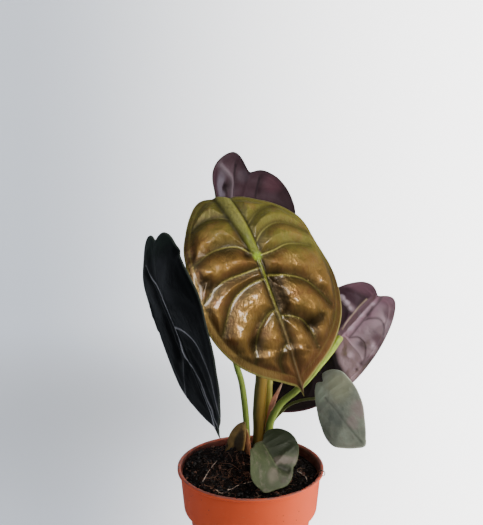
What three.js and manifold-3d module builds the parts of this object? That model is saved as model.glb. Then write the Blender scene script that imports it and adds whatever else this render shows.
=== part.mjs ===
// A potted red secret alocasia: a golden peltate leaf in front, a black-green leaf on the left, two leaves
// that show their purple undersides behind, and two juvenile leaves, in a terracotta-orange nursery pot.
// Millimetres, +Z up. The pot stands on z = 0 with its axis at x = y = 0, and the plant faces -Y.
import * as THREE from 'three';
import Module from 'manifold-3d';
import { mergeVertices } from 'three/addons/utils/BufferGeometryUtils.js';

const GAP = 0.35; // clearance between neighbouring pieces

// The pot, a 12 cm nursery pot.
const POT_HEIGHT = 107;
const RIM_RADIUS = 60;
const COLLAR_TOP_RADIUS = 57.7;
const COLLAR_FOOT_RADIUS = 55;
const COLLAR_FOOT = 71.5;
const SHOULDER_RADIUS = 49.5;
const SHOULDER = 65;
const BASE_RADIUS = 43;
const WALL = 1.5;
const FLOOR = 2;
const LIP_HEIGHT = 3;
const DRAIN_HOLES = 8;
const DRAIN_RING = 27;
const DRAIN_RADIUS = 3.5;
const POT_SECTORS = 48;

// The soil, mounded around the stems, which stand off centre to the back.
const SOIL_EDGE = 98.5;
const SOIL_MOUND = 8.5;
const CROWN = [6, 27];
const MOUND_RADIUS = 30;
const SOIL_SECTORS = 44;

// The blades. The outline of one side is given by angle from the tip in degrees and radius over the length
// from the junction with the stem to the tip.
const OUTLINE = [
  [0, 1], [0.8, 0.955], [2.6, 0.925], [8.5, 0.885], [18, 0.835], [30, 0.775], [46, 0.69],
  [66, 0.6], [90, 0.53], [115, 0.51], [138, 0.515], [156, 0.525], [170, 0.515], [180, 0.49],
];
const BLADE_THICKNESS = 0.8;
const SECTORS = 52;
const BIG_RINGS = [0.1, 0.24, 0.38, 0.52, 0.65, 0.77, 0.88, 0.95, 1];
const SMALL_RINGS = [0.16, 0.36, 0.56, 0.74, 0.88, 1];
const BAND = 0.88; // the collective vein runs round at this share of the way to the margin
const BACK_LOBE = 0.5; // the blade reaches this share of its length behind the junction
const CURL_WIDTH = 0.55;
// Side veins: where each leaves the midrib, over the length, and the angle at which it meets the band.
const SIDE_VEINS = [[0.6, 13], [0.38, 30], [0.16, 52], [0.03, 78], [-0.08, 104], [-0.2, 128]];

// Each leaf: the junction; face, the azimuth from -Y and the elevation of the upper side's normal; spin of the
// tip in that plane; bends towards the tip and the back; sway of the tip to its side; widths and lobe lengths
// of its two sides; fold at the midrib and curl of each side at the back, the middle and the tip. Angles in
// degrees.
const LEAVES = {
  front: {
    color: 0x8a6a24, roughness: 0.28, metalness: 0.25,
    junction: [4, -50, 295], face: [15, 22], spin: -16, length: 106.5, bendTip: 16, bendBack: 36,
    wide: [1.1, 0.96], lobe: [0.87, 1.19], notch: [0, 16],
    curl: [[-44, -41, -20], [-31, 10, -20]],
    quilt: 2.6, cell: 6.5, recurve: 2.2, ridge: 3.2, rings: BIG_RINGS,
    stem: [
      [6.2, 28.5, 96], [6.4, 28.4, 110], [7.4, 28, 126], [7.3, 28, 143], [8.5, 28, 161], [9.3, 28, 174],
      [8.7, 27, 206], [6, 22, 242], [1.5, 8, 278], [-1, -15, 297], [1, -34, 297],
    ],
    stemRadius: [4.6, 4.9, 5.2, 5.2, 4.8, 4, 3.4, 3, 2.7], stemColor: 0x8c6a34,
  },
  left: {
    color: 0x10140f, roughness: 0.4, metalness: 0.05,
    junction: [-65.1, -47.3, 263.1], face: [-59.4, -15.6], spin: -23, length: 112.1, bendTip: -6.6,
    bendBack: 33.4, wide: [0.96, 1.064], lobe: [0.846, 1.023], notch: [0.12, 14],
    curl: [[-18.4, -3.4, 10.3], [-35.3, -14.7, -4]],
    quilt: 1.3, cell: 6.5, recurve: 1.5, ridge: 0, rings: BIG_RINGS,
    stem: [
      [-3.2, 24, 96], [-3.2, 24, 108], [-2.8, 24, 124], [-5, 24, 153], [-7.6, 24, 171], [-11.5, 23, 185],
      [-15.2, 20, 204], [-20, 12, 229], [-30, -2, 251], [-43, -21, 264], [-54, -37, 266.5],
    ],
    stemRadius: [2.7, 2.7, 2.6, 2.5, 2.4, 2.3, 2.2], stemColor: 0x5f7a34,
  },
  back: {
    color: 0x4a3440, roughness: 0.45, metalness: 0,
    junction: [-9.3, 58, 310.5], face: [206.8, 8.6], spin: -14.3, length: 97.4, bendTip: 20, bendBack: -9,
    wide: [1.047, 1.003], lobe: [0.932, 0.73], notch: [0.22, 13.8],
    curl: [[-18.4, -77.7, -20], [-9.9, -25.2, -20]],
    quilt: 1.3, cell: 6, recurve: 1.2, ridge: 0, rings: BIG_RINGS,
    stem: [
      [12.5, 37, 96], [12.6, 37, 110], [14.7, 36, 139], [16.2, 37, 171], [16.5, 39, 202], [13, 42, 245],
      [5, 45, 286], [-1, 47, 302], [-5, 50.5, 309],
    ],
    stemRadius: [3.2, 3.2, 3, 2.8, 2.6, 2.3, 2], stemColor: 0x9a9a3c,
  },
  right: {
    color: 0x5a4350, roughness: 0.4, metalness: 0,
    junction: [75.2, 30, 208.6], face: [157, 7.3], spin: -38.2, length: 102.1, bendTip: 14.5, bendBack: -2.9,
    wide: [0.692, 0.595], lobe: [1.079, 1.16], notch: [0.09, 14],
    curl: [[-16.4, -18.6, -15], [-11.2, -12.2, -10.2]],
    quilt: 1.3, cell: 5, recurve: 1.2, ridge: 0, rings: BIG_RINGS,
    stem: [
      [15.5, 23.5, 96], [15.5, 23.6, 108], [15.6, 24, 120], [17.2, 24, 135], [25.3, 24, 151], [38, 24, 162],
      [43.3, 24, 167.7], [61.1, 24, 183], [70.2, 24.4, 196],
    ],
    stemRadius: [3.3, 3.3, 3.2, 2.9, 2.7, 2.6, 2.5], stemColor: 0x7d9a3a,
  },
  small_right: {
    color: 0x5c6654, roughness: 0.6, metalness: 0,
    junction: [62.2, -5, 171], face: [-25.5, 18.2], spin: -44.2, length: 51.5, bendTip: 13.3, bendBack: 19.1,
    wide: [0.768, 0.998], lobe: [0.748, 0.45], notch: [0.159, 16], tip: 0.5,
    curl: [[-10, -12.2, -10], [-10, -50, -10]],
    quilt: 0.5, cell: 3.5, recurve: 0.5, ridge: 0, rings: SMALL_RINGS,
    stem: [
      [16.5, 32, 96], [16.6, 32, 108], [18.4, 31.5, 130], [26.4, 30, 141.6], [32.4, 28, 148], [39.8, 24, 153.2],
      [46.8, 18, 157.3], [52.3, 11, 160.8], [57.5, 3.5, 166],
    ],
    stemRadius: [1.4, 1.4, 1.3, 1.2, 1.1], stemColor: 0x6a6a36,
  },
  small_front: {
    color: 0x66705c, roughness: 0.6, metalness: 0,
    junction: [11.5, -20.7, 133.2], face: [9.6, 49.9], spin: -25.3, length: 39.4, bendTip: 10.3, bendBack: 5,
    sway: 8.5, wide: [1.067, 1.4], lobe: [0.583, 0.4], notch: [0.4, 19], tip: 0.3,
    curl: [[-10, -4, -10], [-10, 29, -10]], fold: [[5, 14, 3], [5, 29, 3]],
    quilt: 0.5, cell: 3, recurve: 0.5, ridge: 0, rings: SMALL_RINGS,
    stem: [[7, 13, 96], [7, 12.5, 106], [7.5, 8, 118], [9, -2, 126], [10.5, -12, 129.5]],
    stemRadius: [1.6, 1.5, 1.4, 1.3], stemColor: 0x6f7048,
  },
};

// Papery sheaths and the old scale between the stems: flattened stems that taper to a point. The profile gives
// the half width and the half thickness from the foot to the point, and turn the wide side's direction.
const SHEATHS = {
  sheath_pink: {
    color: 0xc98b78, roughness: 0.7, turn: 20,
    path: [[12.6, 31.3, 96], [12.8, 31.4, 112], [14.4, 31.5, 128], [16.8, 29.6, 142], [19.6, 28, 152],
      [23, 27.4, 160], [26.5, 27, 169]],
    profile: [[1, 1], [1, 1], [1.6, 1], [2.1, 0.9], [2.6, 0.7], [1.7, 0.6], [0.5, 0.5]],
  },
  scale_brown: {
    color: 0x5a4426, roughness: 0.8, turn: -14,
    path: [[-14, 15, 96], [-14, 15.2, 104], [-13, 15.6, 115], [-10.5, 16.6, 125], [-7.5, 17.8, 132],
      [-4.5, 18.6, 137]],
    profile: [[5, 1.6], [6, 1.6], [7, 1.4], [6, 1.2], [3.6, 0.9], [0.7, 0.6]],
  },
  sheath_foot: {
    color: 0x7a4630, roughness: 0.7, turn: 0,
    path: [[-2, 18.6, 96], [-2, 18.8, 106], [-2.2, 19.4, 116], [-2.6, 19.9, 124], [-2.9, 20.2, 130]],
    profile: [[2.8, 1.2], [2.9, 1.2], [2.6, 1], [1.7, 0.8], [0.5, 0.5]],
  },
};

const wasm = await Module();
wasm.setup();

function toSolid(geometry) {
  const plain = geometry.clone();
  plain.deleteAttribute('normal');
  plain.deleteAttribute('uv');
  const merged = mergeVertices(plain, 1e-4);
  return new wasm.Manifold(new wasm.Mesh({
    numProp: 3,
    vertProperties: merged.attributes.position.array,
    triVerts: new Uint32Array(merged.index.array),
  }));
}

function fromSolid(solid) {
  const mesh = solid.getMesh();
  const geometry = new THREE.BufferGeometry();
  geometry.setAttribute('position', new THREE.BufferAttribute(new Float32Array(mesh.vertProperties), 3));
  geometry.setIndex(new THREE.BufferAttribute(new Uint32Array(mesh.triVerts), 1));
  return geometry;
}

function cut(geometry, cutters) {
  let solid = toSolid(geometry);
  for (const cutter of cutters) {
    solid = solid.subtract(toSolid(cutter));
  }
  return fromSolid(solid);
}

const radians = THREE.MathUtils.degToRad;
const smooth = (t) => THREE.MathUtils.smoothstep(t, 0, 1);

// A Catmull-Rom value through rows of numbers at t from 0 to 1, with mirrored ends.
function catmull(rows, t) {
  const last = rows.length - 1;
  const mirrored = (a, b) => a.map((v, k) => 2 * v - b[k]);
  const row = (i) => {
    if (i < 0) return mirrored(rows[0], rows[1]);
    if (i > last) return mirrored(rows[last], rows[last - 1]);
    return rows[i];
  };
  const s = THREE.MathUtils.clamp(t, 0, 1) * last;
  const i = Math.min(Math.floor(s), last - 1);
  const f = s - i;
  const [a, b, c, d] = [row(i - 1), row(i), row(i + 1), row(i + 2)];
  return b.map((_, k) => 0.5 * (2 * b[k] + (c[k] - a[k]) * f + (2 * a[k] - 5 * b[k] + 4 * c[k] - d[k]) * f * f
    + (3 * b[k] - a[k] - 3 * c[k] + d[k]) * f * f * f));
}

// The flat margin at q: -1 and 1 are the back of the blade and 0 its tip. x runs to the tip, y to the side.
function margin(leaf, q) {
  const [degrees, share] = catmull(OUTLINE, Math.abs(q));
  const angle = radians(degrees);
  const fromBack = Math.PI - angle;
  const radius = share * (1 - leaf.notch[0] * Math.exp(-((fromBack / radians(leaf.notch[1])) ** 2)));
  const side = q < 0 ? 0 : 1;
  const middle = (leaf.lobe[0] + leaf.lobe[1]) / 2;
  const lobe = middle + (leaf.lobe[side] - middle) * smooth(Math.abs(fromBack) / radians(25));
  let x = radius * Math.cos(angle);
  if (x < 0) x *= lobe;
  if (x > 0.86) x = 0.86 + (x - 0.86) * (leaf.tip ?? 1);
  const y = radius * Math.sin(angle) * leaf.wide[side] * Math.sign(q);
  return new THREE.Vector2(x, y).multiplyScalar(leaf.length);
}

// The blade's frame at the junction: along to the tip, the upper side's normal and the side direction.
function bladeFrame(leaf) {
  const [azimuth, elevation] = leaf.face.map(radians);
  const normal = new THREE.Vector3(
    Math.sin(azimuth) * Math.cos(elevation), -Math.cos(azimuth) * Math.cos(elevation), Math.sin(elevation));
  const along = new THREE.Vector3(0, 0, -1);
  along.addScaledVector(normal, -along.dot(normal)).normalize();
  const side = new THREE.Vector3().crossVectors(along, normal);
  const spin = radians(leaf.spin);
  along.multiplyScalar(Math.cos(spin)).addScaledVector(side, Math.sin(spin));
  side.crossVectors(along, normal);
  return { along, normal, side };
}

// A point of the flat blade (x, y) in space: the spine bends as an arc to the tip and to the back, and each
// side leaves it at its fold and curls as an arc.
function embed(leaf, x, y) {
  const { along, normal, side } = bladeFrame(leaf);
  const towardsTip = x >= 0;
  const reach = Math.abs(x) / (towardsTip ? leaf.length : leaf.length * BACK_LOBE);
  const total = radians(towardsTip ? leaf.bendTip : leaf.bendBack);
  const turn = Math.abs(total * reach) < 1e-9 ? 1e-9 : total * reach;
  const forward = Math.abs(x) * Math.sin(turn) / turn * Math.sign(x);
  const drop = Math.abs(x) * (1 - Math.cos(turn)) / turn;
  const signed = towardsTip ? turn : -turn;
  const up = normal.clone().multiplyScalar(Math.cos(signed)).addScaledVector(along, Math.sin(signed));
  const which = y < 0 ? 0 : 1;
  const blend = smooth(Math.min(reach, 1));
  const mix = (rows) => {
    const [back, middle, tip] = rows[which];
    return radians(middle + ((towardsTip ? tip : back) - middle) * blend);
  };
  const fold = leaf.fold ? mix(leaf.fold) : 0;
  const curl = mix(leaf.curl) / (CURL_WIDTH * leaf.length);
  const width = Math.abs(y);
  const flat = Math.abs(curl * width) < 1e-7;
  const lateral = flat ? width * Math.cos(fold) : (Math.sin(fold + curl * width) - Math.sin(fold)) / curl;
  const lift = flat ? width * Math.sin(fold) : (Math.cos(fold) - Math.cos(fold + curl * width)) / curl;
  return new THREE.Vector3(...leaf.junction)
    .addScaledVector(along, forward)
    .addScaledVector(normal, -drop)
    .addScaledVector(side, Math.sign(y) * lateral + (towardsTip ? (leaf.sway ?? 0) * reach * reach : 0))
    .addScaledVector(up, lift);
}

// The side veins as points in the flat blade, each a quadratic curve that leaves the midrib and sweeps round.
function sideVeins(leaf) {
  const veins = [];
  for (const sign of [-1, 1]) {
    for (const [start, degrees] of SIDE_VEINS) {
      let best = null;
      for (let k = 1; k < 120; k += 1) {
        const m = margin(leaf, sign * k / 120);
        const miss = Math.abs(Math.atan2(Math.abs(m.y), m.x) - radians(degrees));
        if (!best || miss < best.miss) best = { miss, m };
      }
      const from = new THREE.Vector2(start * leaf.length, 0);
      const to = best.m.clone().multiplyScalar(0.9);
      const control = new THREE.Vector2(from.x + 0.18 * (to.x - from.x), from.y + 0.62 * (to.y - from.y));
      veins.push(new THREE.QuadraticBezierCurve(from, control, to).getPoints(10));
    }
  }
  return veins;
}

function distanceToVeins(veins, x, y) {
  const point = new THREE.Vector3(x, y, 0);
  const line = new THREE.Line3();
  const near = new THREE.Vector3();
  let best = Math.abs(y);
  for (const vein of veins) {
    for (let i = 0; i + 1 < vein.length; i += 1) {
      line.start.set(vein[i].x, vein[i].y, 0);
      line.end.set(vein[i + 1].x, vein[i + 1].y, 0);
      line.closestPointToPoint(point, true, near);
      best = Math.min(best, near.distanceTo(point));
    }
  }
  return best;
}

// Height above the smooth blade: quilted bulges between sunken veins, a margin band that turns down, and on
// the front leaf a ridge over the back lobe where the stem runs beneath.
function relief(leaf, veins, x, y, share) {
  const radius = Math.hypot(x, y);
  const toBand = share > 0 ? Math.abs(BAND - share) * radius / share : 0;
  const gap = Math.min(distanceToVeins(veins, x, y), toBand);
  const inside = share < BAND ? 1 : 0.35;
  const bulge = leaf.quilt * inside * (1 - Math.exp(-((gap / leaf.cell) ** 2)));
  const edge = Math.max(0, (share - BAND) / (1 - BAND));
  const ridge = x < 0 ? leaf.ridge * smooth(-x / 25) * Math.exp(-((y / 6) ** 2)) : 0;
  return bulge - leaf.recurve * edge * edge + ridge;
}

// A closed blade: rings of points from the junction to the margin, the same grid on both faces.
function bladeGeometry(leaf) {
  const veins = sideVeins(leaf);
  const flat = [[0, 0, 0]];
  for (const share of leaf.rings) {
    for (let j = 0; j < SECTORS; j += 1) {
      const m = margin(leaf, -1 + 2 * j / SECTORS);
      flat.push([m.x * share, m.y * share, share]);
    }
  }
  const triangles = [];
  const at = (ring, j) => 1 + ring * SECTORS + (j % SECTORS);
  for (let j = 0; j < SECTORS; j += 1) {
    triangles.push([0, at(0, j), at(0, j + 1)]);
    for (let ring = 0; ring + 1 < leaf.rings.length; ring += 1) {
      triangles.push([at(ring, j), at(ring + 1, j), at(ring + 1, j + 1)]);
      triangles.push([at(ring, j), at(ring + 1, j + 1), at(ring, j + 1)]);
    }
  }
  const middle = new THREE.BufferGeometry();
  middle.setIndex(triangles.flat());
  const smoothPoints = flat.map(([x, y]) => embed(leaf, x, y));
  middle.setFromPoints(smoothPoints);
  middle.computeVertexNormals();
  const normalAt = (i) => new THREE.Vector3().fromBufferAttribute(middle.attributes.normal, i);
  const { normal } = bladeFrame(leaf);
  const sense = Math.sign(normalAt(0).dot(normal));
  const raised = smoothPoints.map((p, i) => {
    const [x, y, share] = flat[i];
    return p.clone().addScaledVector(normalAt(i), sense * relief(leaf, veins, x, y, share));
  });
  middle.setFromPoints(raised);
  middle.computeVertexNormals();
  const half = sense * BLADE_THICKNESS / 2;
  const upper = raised.map((p, i) => p.clone().addScaledVector(normalAt(i), half));
  const lower = raised.map((p, i) => p.clone().addScaledVector(normalAt(i), -half));
  const count = upper.length;
  const faces = [];
  const add = (a, b, c) => faces.push(...(sense > 0 ? [a, b, c] : [a, c, b]));
  for (const [a, b, c] of triangles) {
    add(a, b, c);
    add(a + count, c + count, b + count);
  }
  const rim = leaf.rings.length - 1;
  for (let j = 0; j < SECTORS; j += 1) {
    const a = at(rim, j);
    const b = at(rim, j + 1);
    add(a, a + count, b + count);
    add(a, b + count, b);
  }
  const geometry = new THREE.BufferGeometry().setFromPoints([...upper, ...lower]);
  geometry.setIndex(faces);
  return geometry;
}

// A closed tapering stem along a curve. profile(t) gives the half width and the half thickness, and the wide
// side points at the angle turn from +X.
function stemGeometry(points, profile, { steps, sides = 10, turn = 0 }) {
  const curve = new THREE.CatmullRomCurve3(points.map((p) => new THREE.Vector3(...p)), false, 'centripetal');
  const vertices = [];
  const faces = [];
  const wide = new THREE.Vector3(Math.cos(radians(turn)), Math.sin(radians(turn)), 0);
  for (let i = 0; i <= steps; i += 1) {
    const t = i / steps;
    const centre = curve.getPoint(t);
    const tangent = curve.getTangent(t);
    const across = wide.clone().addScaledVector(tangent, -wide.dot(tangent)).normalize();
    const through = new THREE.Vector3().crossVectors(tangent, across);
    const [a, b] = profile(t);
    for (let j = 0; j < sides; j += 1) {
      const angle = 2 * Math.PI * j / sides;
      vertices.push(centre.clone()
        .addScaledVector(across, a * Math.cos(angle))
        .addScaledVector(through, b * Math.sin(angle)));
    }
  }
  const at = (i, j) => i * sides + (j % sides);
  for (let i = 0; i < steps; i += 1) {
    for (let j = 0; j < sides; j += 1) {
      faces.push(at(i, j), at(i, j + 1), at(i + 1, j + 1));
      faces.push(at(i, j), at(i + 1, j + 1), at(i + 1, j));
    }
  }
  const foot = vertices.push(curve.getPoint(0)) - 1;
  const head = vertices.push(curve.getPoint(1)) - 1;
  for (let j = 0; j < sides; j += 1) {
    faces.push(foot, at(0, j + 1), at(0, j));
    faces.push(head, at(steps, j), at(steps, j + 1));
  }
  const geometry = new THREE.BufferGeometry().setFromPoints(vertices);
  geometry.setIndex(faces);
  return geometry;
}

// The stem ends under the junction, so that the nearest edge of its end face keeps the clearance to the blade.
function stemPoints(leaf) {
  const { normal } = bladeFrame(leaf);
  const junction = new THREE.Vector3(...leaf.junction);
  const run = junction.clone().sub(new THREE.Vector3(...leaf.stem.at(-1))).normalize();
  const lean = Math.sqrt(1 - run.dot(normal) ** 2);
  const depth = leaf.stemRadius.at(-1) * lean + BLADE_THICKNESS / 2 + GAP + 0.15;
  return [...leaf.stem, junction.addScaledVector(normal, -depth).toArray()];
}

const round = (rows) => (t) => {
  const [radius] = catmull(rows.map((r) => [r]), t);
  return [radius, radius];
};
const grown = (profile) => (t) => profile(t).map((v) => v + GAP);
const deeper = (points) => [[points[0][0], points[0][1], points[0][2] - GAP], ...points.slice(1)];

const root = new THREE.Group();
const holes = []; // what the soil is cut by

function addMesh(name, geometry, color, roughness, metalness = 0) {
  const mesh = new THREE.Mesh(geometry, new THREE.MeshStandardMaterial({ color, roughness, metalness }));
  mesh.name = name;
  root.add(mesh);
}

for (const [name, leaf] of Object.entries(LEAVES)) {
  const points = stemPoints(leaf);
  const profile = round(leaf.stemRadius);
  const steps = 2 * points.length;
  addMesh(`leaf_${name}_blade`, bladeGeometry(leaf), leaf.color, leaf.roughness, leaf.metalness);
  addMesh(`leaf_${name}_petiole`, stemGeometry(points, profile, { steps }), leaf.stemColor, 0.45);
  holes.push(stemGeometry(deeper(points), grown(profile), { steps }));
}
for (const [name, sheath] of Object.entries(SHEATHS)) {
  const profile = (t) => catmull(sheath.profile, t);
  const shape = { steps: 2 * sheath.path.length, turn: sheath.turn };
  addMesh(name, stemGeometry(sheath.path, profile, shape), sheath.color, sheath.roughness);
  holes.push(stemGeometry(deeper(sheath.path), grown(profile), shape));
}

// The pot turned about its axis: outside from the base up over the lip, then down the inside to the floor.
const inner = (radius) => radius - WALL;
const potProfile = [
  [0, 0], [BASE_RADIUS - 0.8, 0], [BASE_RADIUS, 0.8], [SHOULDER_RADIUS, SHOULDER],
  [COLLAR_FOOT_RADIUS - 0.5, COLLAR_FOOT - 1], [COLLAR_FOOT_RADIUS, COLLAR_FOOT],
  [COLLAR_TOP_RADIUS, POT_HEIGHT - LIP_HEIGHT], [RIM_RADIUS - 0.5, POT_HEIGHT - LIP_HEIGHT + 0.2],
  [RIM_RADIUS, POT_HEIGHT - LIP_HEIGHT + 1], [RIM_RADIUS, POT_HEIGHT - 0.9], [RIM_RADIUS - 0.8, POT_HEIGHT],
  [COLLAR_TOP_RADIUS + 0.4, POT_HEIGHT], [inner(COLLAR_TOP_RADIUS) + 0.3, POT_HEIGHT - 1.6],
  [inner(COLLAR_TOP_RADIUS), POT_HEIGHT - LIP_HEIGHT - 1], [inner(COLLAR_FOOT_RADIUS), COLLAR_FOOT + 1],
  [inner(SHOULDER_RADIUS), SHOULDER + 1], [inner(BASE_RADIUS), FLOOR], [0, FLOOR],
].map(([r, z]) => new THREE.Vector2(r, z));

function uprightLathe(profile, sectors) {
  const geometry = new THREE.LatheGeometry(profile, sectors);
  geometry.rotateX(Math.PI / 2);
  return geometry;
}

const drains = [];
for (let i = 0; i < DRAIN_HOLES; i += 1) {
  const angle = 2 * Math.PI * i / DRAIN_HOLES;
  const drain = new THREE.CylinderGeometry(DRAIN_RADIUS, DRAIN_RADIUS, 4 * FLOOR, 16);
  drain.rotateX(Math.PI / 2);
  drain.translate(DRAIN_RING * Math.cos(angle), DRAIN_RING * Math.sin(angle), 0);
  drains.push(drain);
}
addMesh('pot', cut(uprightLathe(potProfile, POT_SECTORS), drains), 0xc4552c, 0.5);

// The soil follows the pot's inside at a small gap, and its top rises in a mound with low lumps.
const wallRadius = (z) => {
  const line = z > COLLAR_FOOT + 1
    ? [[COLLAR_FOOT_RADIUS, COLLAR_FOOT + 1], [COLLAR_TOP_RADIUS, POT_HEIGHT - LIP_HEIGHT - 1]]
    : [[BASE_RADIUS, FLOOR], [SHOULDER_RADIUS, SHOULDER + 1]];
  const [[r0, z0], [r1, z1]] = line;
  return (inner(r0 + (r1 - r0) * (z - z0) / (z1 - z0)) - GAP) * Math.cos(Math.PI / POT_SECTORS);
};
const soilProfile = [
  [0, FLOOR + GAP], [wallRadius(FLOOR + GAP), FLOOR + GAP], [wallRadius(SHOULDER + 1), SHOULDER + 1 + GAP],
  [wallRadius(COLLAR_FOOT + 1 + GAP), COLLAR_FOOT + 1 + GAP], [wallRadius(SOIL_EDGE), SOIL_EDGE],
  [52, SOIL_EDGE], [46, SOIL_EDGE], [40, SOIL_EDGE], [33, SOIL_EDGE], [26, SOIL_EDGE], [19, SOIL_EDGE],
  [12, SOIL_EDGE], [6, SOIL_EDGE], [0, SOIL_EDGE],
].map(([r, z]) => new THREE.Vector2(r, z));

function soilGeometry() {
  const geometry = uprightLathe(soilProfile, SOIL_SECTORS);
  const position = geometry.attributes.position;
  for (let i = 0; i < position.count; i += 1) {
    const x = position.getX(i);
    const y = position.getY(i);
    if (position.getZ(i) < SOIL_EDGE - 1e-3) continue;
    const inside = smooth((wallRadius(SOIL_EDGE) - Math.hypot(x, y)) / 8);
    const away = Math.hypot(x - CROWN[0], y - CROWN[1]) / MOUND_RADIUS;
    const lumps = 0.6 * Math.sin(0.31 * x + 1) * Math.sin(0.27 * y) + 0.4 * Math.sin(0.73 * x - 0.52 * y);
    position.setZ(i, SOIL_EDGE + inside * (SOIL_MOUND * Math.exp(-away * away) + lumps));
  }
  return geometry;
}
addMesh('soil', cut(soilGeometry(), holes), 0x241a14, 0.95);

export default root;
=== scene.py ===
"""A potted red secret alocasia: a golden quilted leaf, a black-green leaf, two leaves that show their purple
undersides and two young leaves, in a terracotta-orange nursery pot.

Shapes are worked out in millimetres and stored in metres, +Z up, with the pot's base at the origin and the
plant facing -Y. The blades repeat the formula of the solid model on a finer grid.
"""
from types import SimpleNamespace

import bmesh
import bpy
import numpy as np
from bpy.props import FloatProperty, FloatVectorProperty, IntProperty, PointerProperty, StringProperty
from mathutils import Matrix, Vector


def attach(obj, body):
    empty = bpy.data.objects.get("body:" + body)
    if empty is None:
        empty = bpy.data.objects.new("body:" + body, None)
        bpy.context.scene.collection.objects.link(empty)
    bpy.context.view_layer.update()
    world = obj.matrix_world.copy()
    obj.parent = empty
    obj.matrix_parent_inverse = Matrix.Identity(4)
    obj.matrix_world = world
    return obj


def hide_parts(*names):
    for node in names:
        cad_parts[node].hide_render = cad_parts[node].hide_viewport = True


bl_info = {
    "name": "Potted alocasia",
    "version": (1, 0, 0),
    "blender": (4, 5, 0),
    "location": "3D View > Sidebar > Alocasia",
    "description": "Builds a potted alocasia with quilted peltate leaves",
    "category": "Add Mesh",
}

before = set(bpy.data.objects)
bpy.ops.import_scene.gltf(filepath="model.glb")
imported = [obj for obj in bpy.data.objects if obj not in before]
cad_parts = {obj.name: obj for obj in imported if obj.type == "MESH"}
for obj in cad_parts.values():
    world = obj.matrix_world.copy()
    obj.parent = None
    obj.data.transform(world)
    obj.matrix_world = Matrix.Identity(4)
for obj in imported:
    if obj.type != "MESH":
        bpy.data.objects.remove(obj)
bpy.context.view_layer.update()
MM = 0.001

# The camera of the photograph, 483 by 525 pixels: place in metres, tilt in degrees, lens in millimetres.
CAMERA_PLACE = (-0.0074, -0.7215, 0.4527)
CAMERA_PITCH = 13.6
CAMERA_LENS = 65.3

# One side of a blade's outline: angle from the tip in degrees, radius over the length to the tip.
OUTLINE = np.array([
    (0, 1), (0.8, 0.955), (2.6, 0.925), (8.5, 0.885), (18, 0.835), (30, 0.775), (46, 0.69),
    (66, 0.6), (90, 0.53), (115, 0.51), (138, 0.515), (156, 0.525), (170, 0.515), (180, 0.49)])
BAND = 0.88  # the collective vein runs round at this share of the way to the margin
BACK_LOBE = 0.5  # how far the spine's bend reaches back, over the length to the tip
CURL_WIDTH = 0.55  # the width over which a side turns by its curl, over the length
DRIP_TIP = 0.86  # the tip is stretched beyond this place, over the length
# Side veins: where each leaves the midrib, over the length, and the angle at which it meets the band.
SIDE_VEINS = ((0.6, 13), (0.38, 30), (0.16, 52), (0.03, 78), (-0.08, 104), (-0.2, 128))

# A blade's grid: points round the margin, rings up to DENSE of the way to it, rings beyond.
LARGE_GRID = (400, 68, 15)
YOUNG_GRID = (260, 44, 11)
DENSE = 0.9

ROUND_EDGE = 0.985  # beyond this share of the way to the margin a blade is rounded off
MARGIN_STEPS = 2001  # points on each side of the margin by which its arc is measured

# The front leaf's spine: its half width at the junction, how much it grows, and on what way back.
SPINE_WIDTH = (3.1, 1.5, 32)

# The leaves. Angles are in degrees, lengths in millimetres, and places over the length to the tip: along the
# midrib, then across it.
#   junction, length: where the stem meets the blade, and how far the tip is from there in the flat blade
#   face, spin: azimuth and elevation of the upper side, and the tip's turn from straight down
#   bend: turn of the spine to the tip and to the back
#   curl, fold: turn of a side over CURL_WIDTH and its angle at the spine, each at the back, the middle and
#     the tip of the side with negative y, then of the other side
#   sway: the tip's way to the side
#   wide, lobe: factors for the two sides and the two back lobes
#   notch, tip, slant: depth and width of the notch at the back, stretch of the drip tip, lean of the back
#   outline: a young leaf's own angles and radii, in place of the five keys before this one
#   quilt, cell, band, recurve, wave: height of the puffs, distance from a vein over which they rise, place of
#     the collective vein, how far the margin turns down, height of its waves
#   ridge, ridge_turn, ribs, wrinkle: height and turn of the spine, depth of the midrib and of the side veins
#     beneath, height of the fine folds
#   veins, threads, creases: side veins, raised pale lines and sunken dark lines, by their points
#   relief: points, width and height of each fold or hollow
#   stem, stem_radius: points from the soil upwards, and radii at even steps on the way
# LEAF holds what a leaf has unless its own entry says otherwise.
LEAF = dict(sway=0, fold=((0, 0, 0), (0, 0, 0)), ridge=0, ridge_turn=0, tip=1, slant=0, band=BAND,
            wrinkle=0.2, threads=(), creases=(), relief=())

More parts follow.
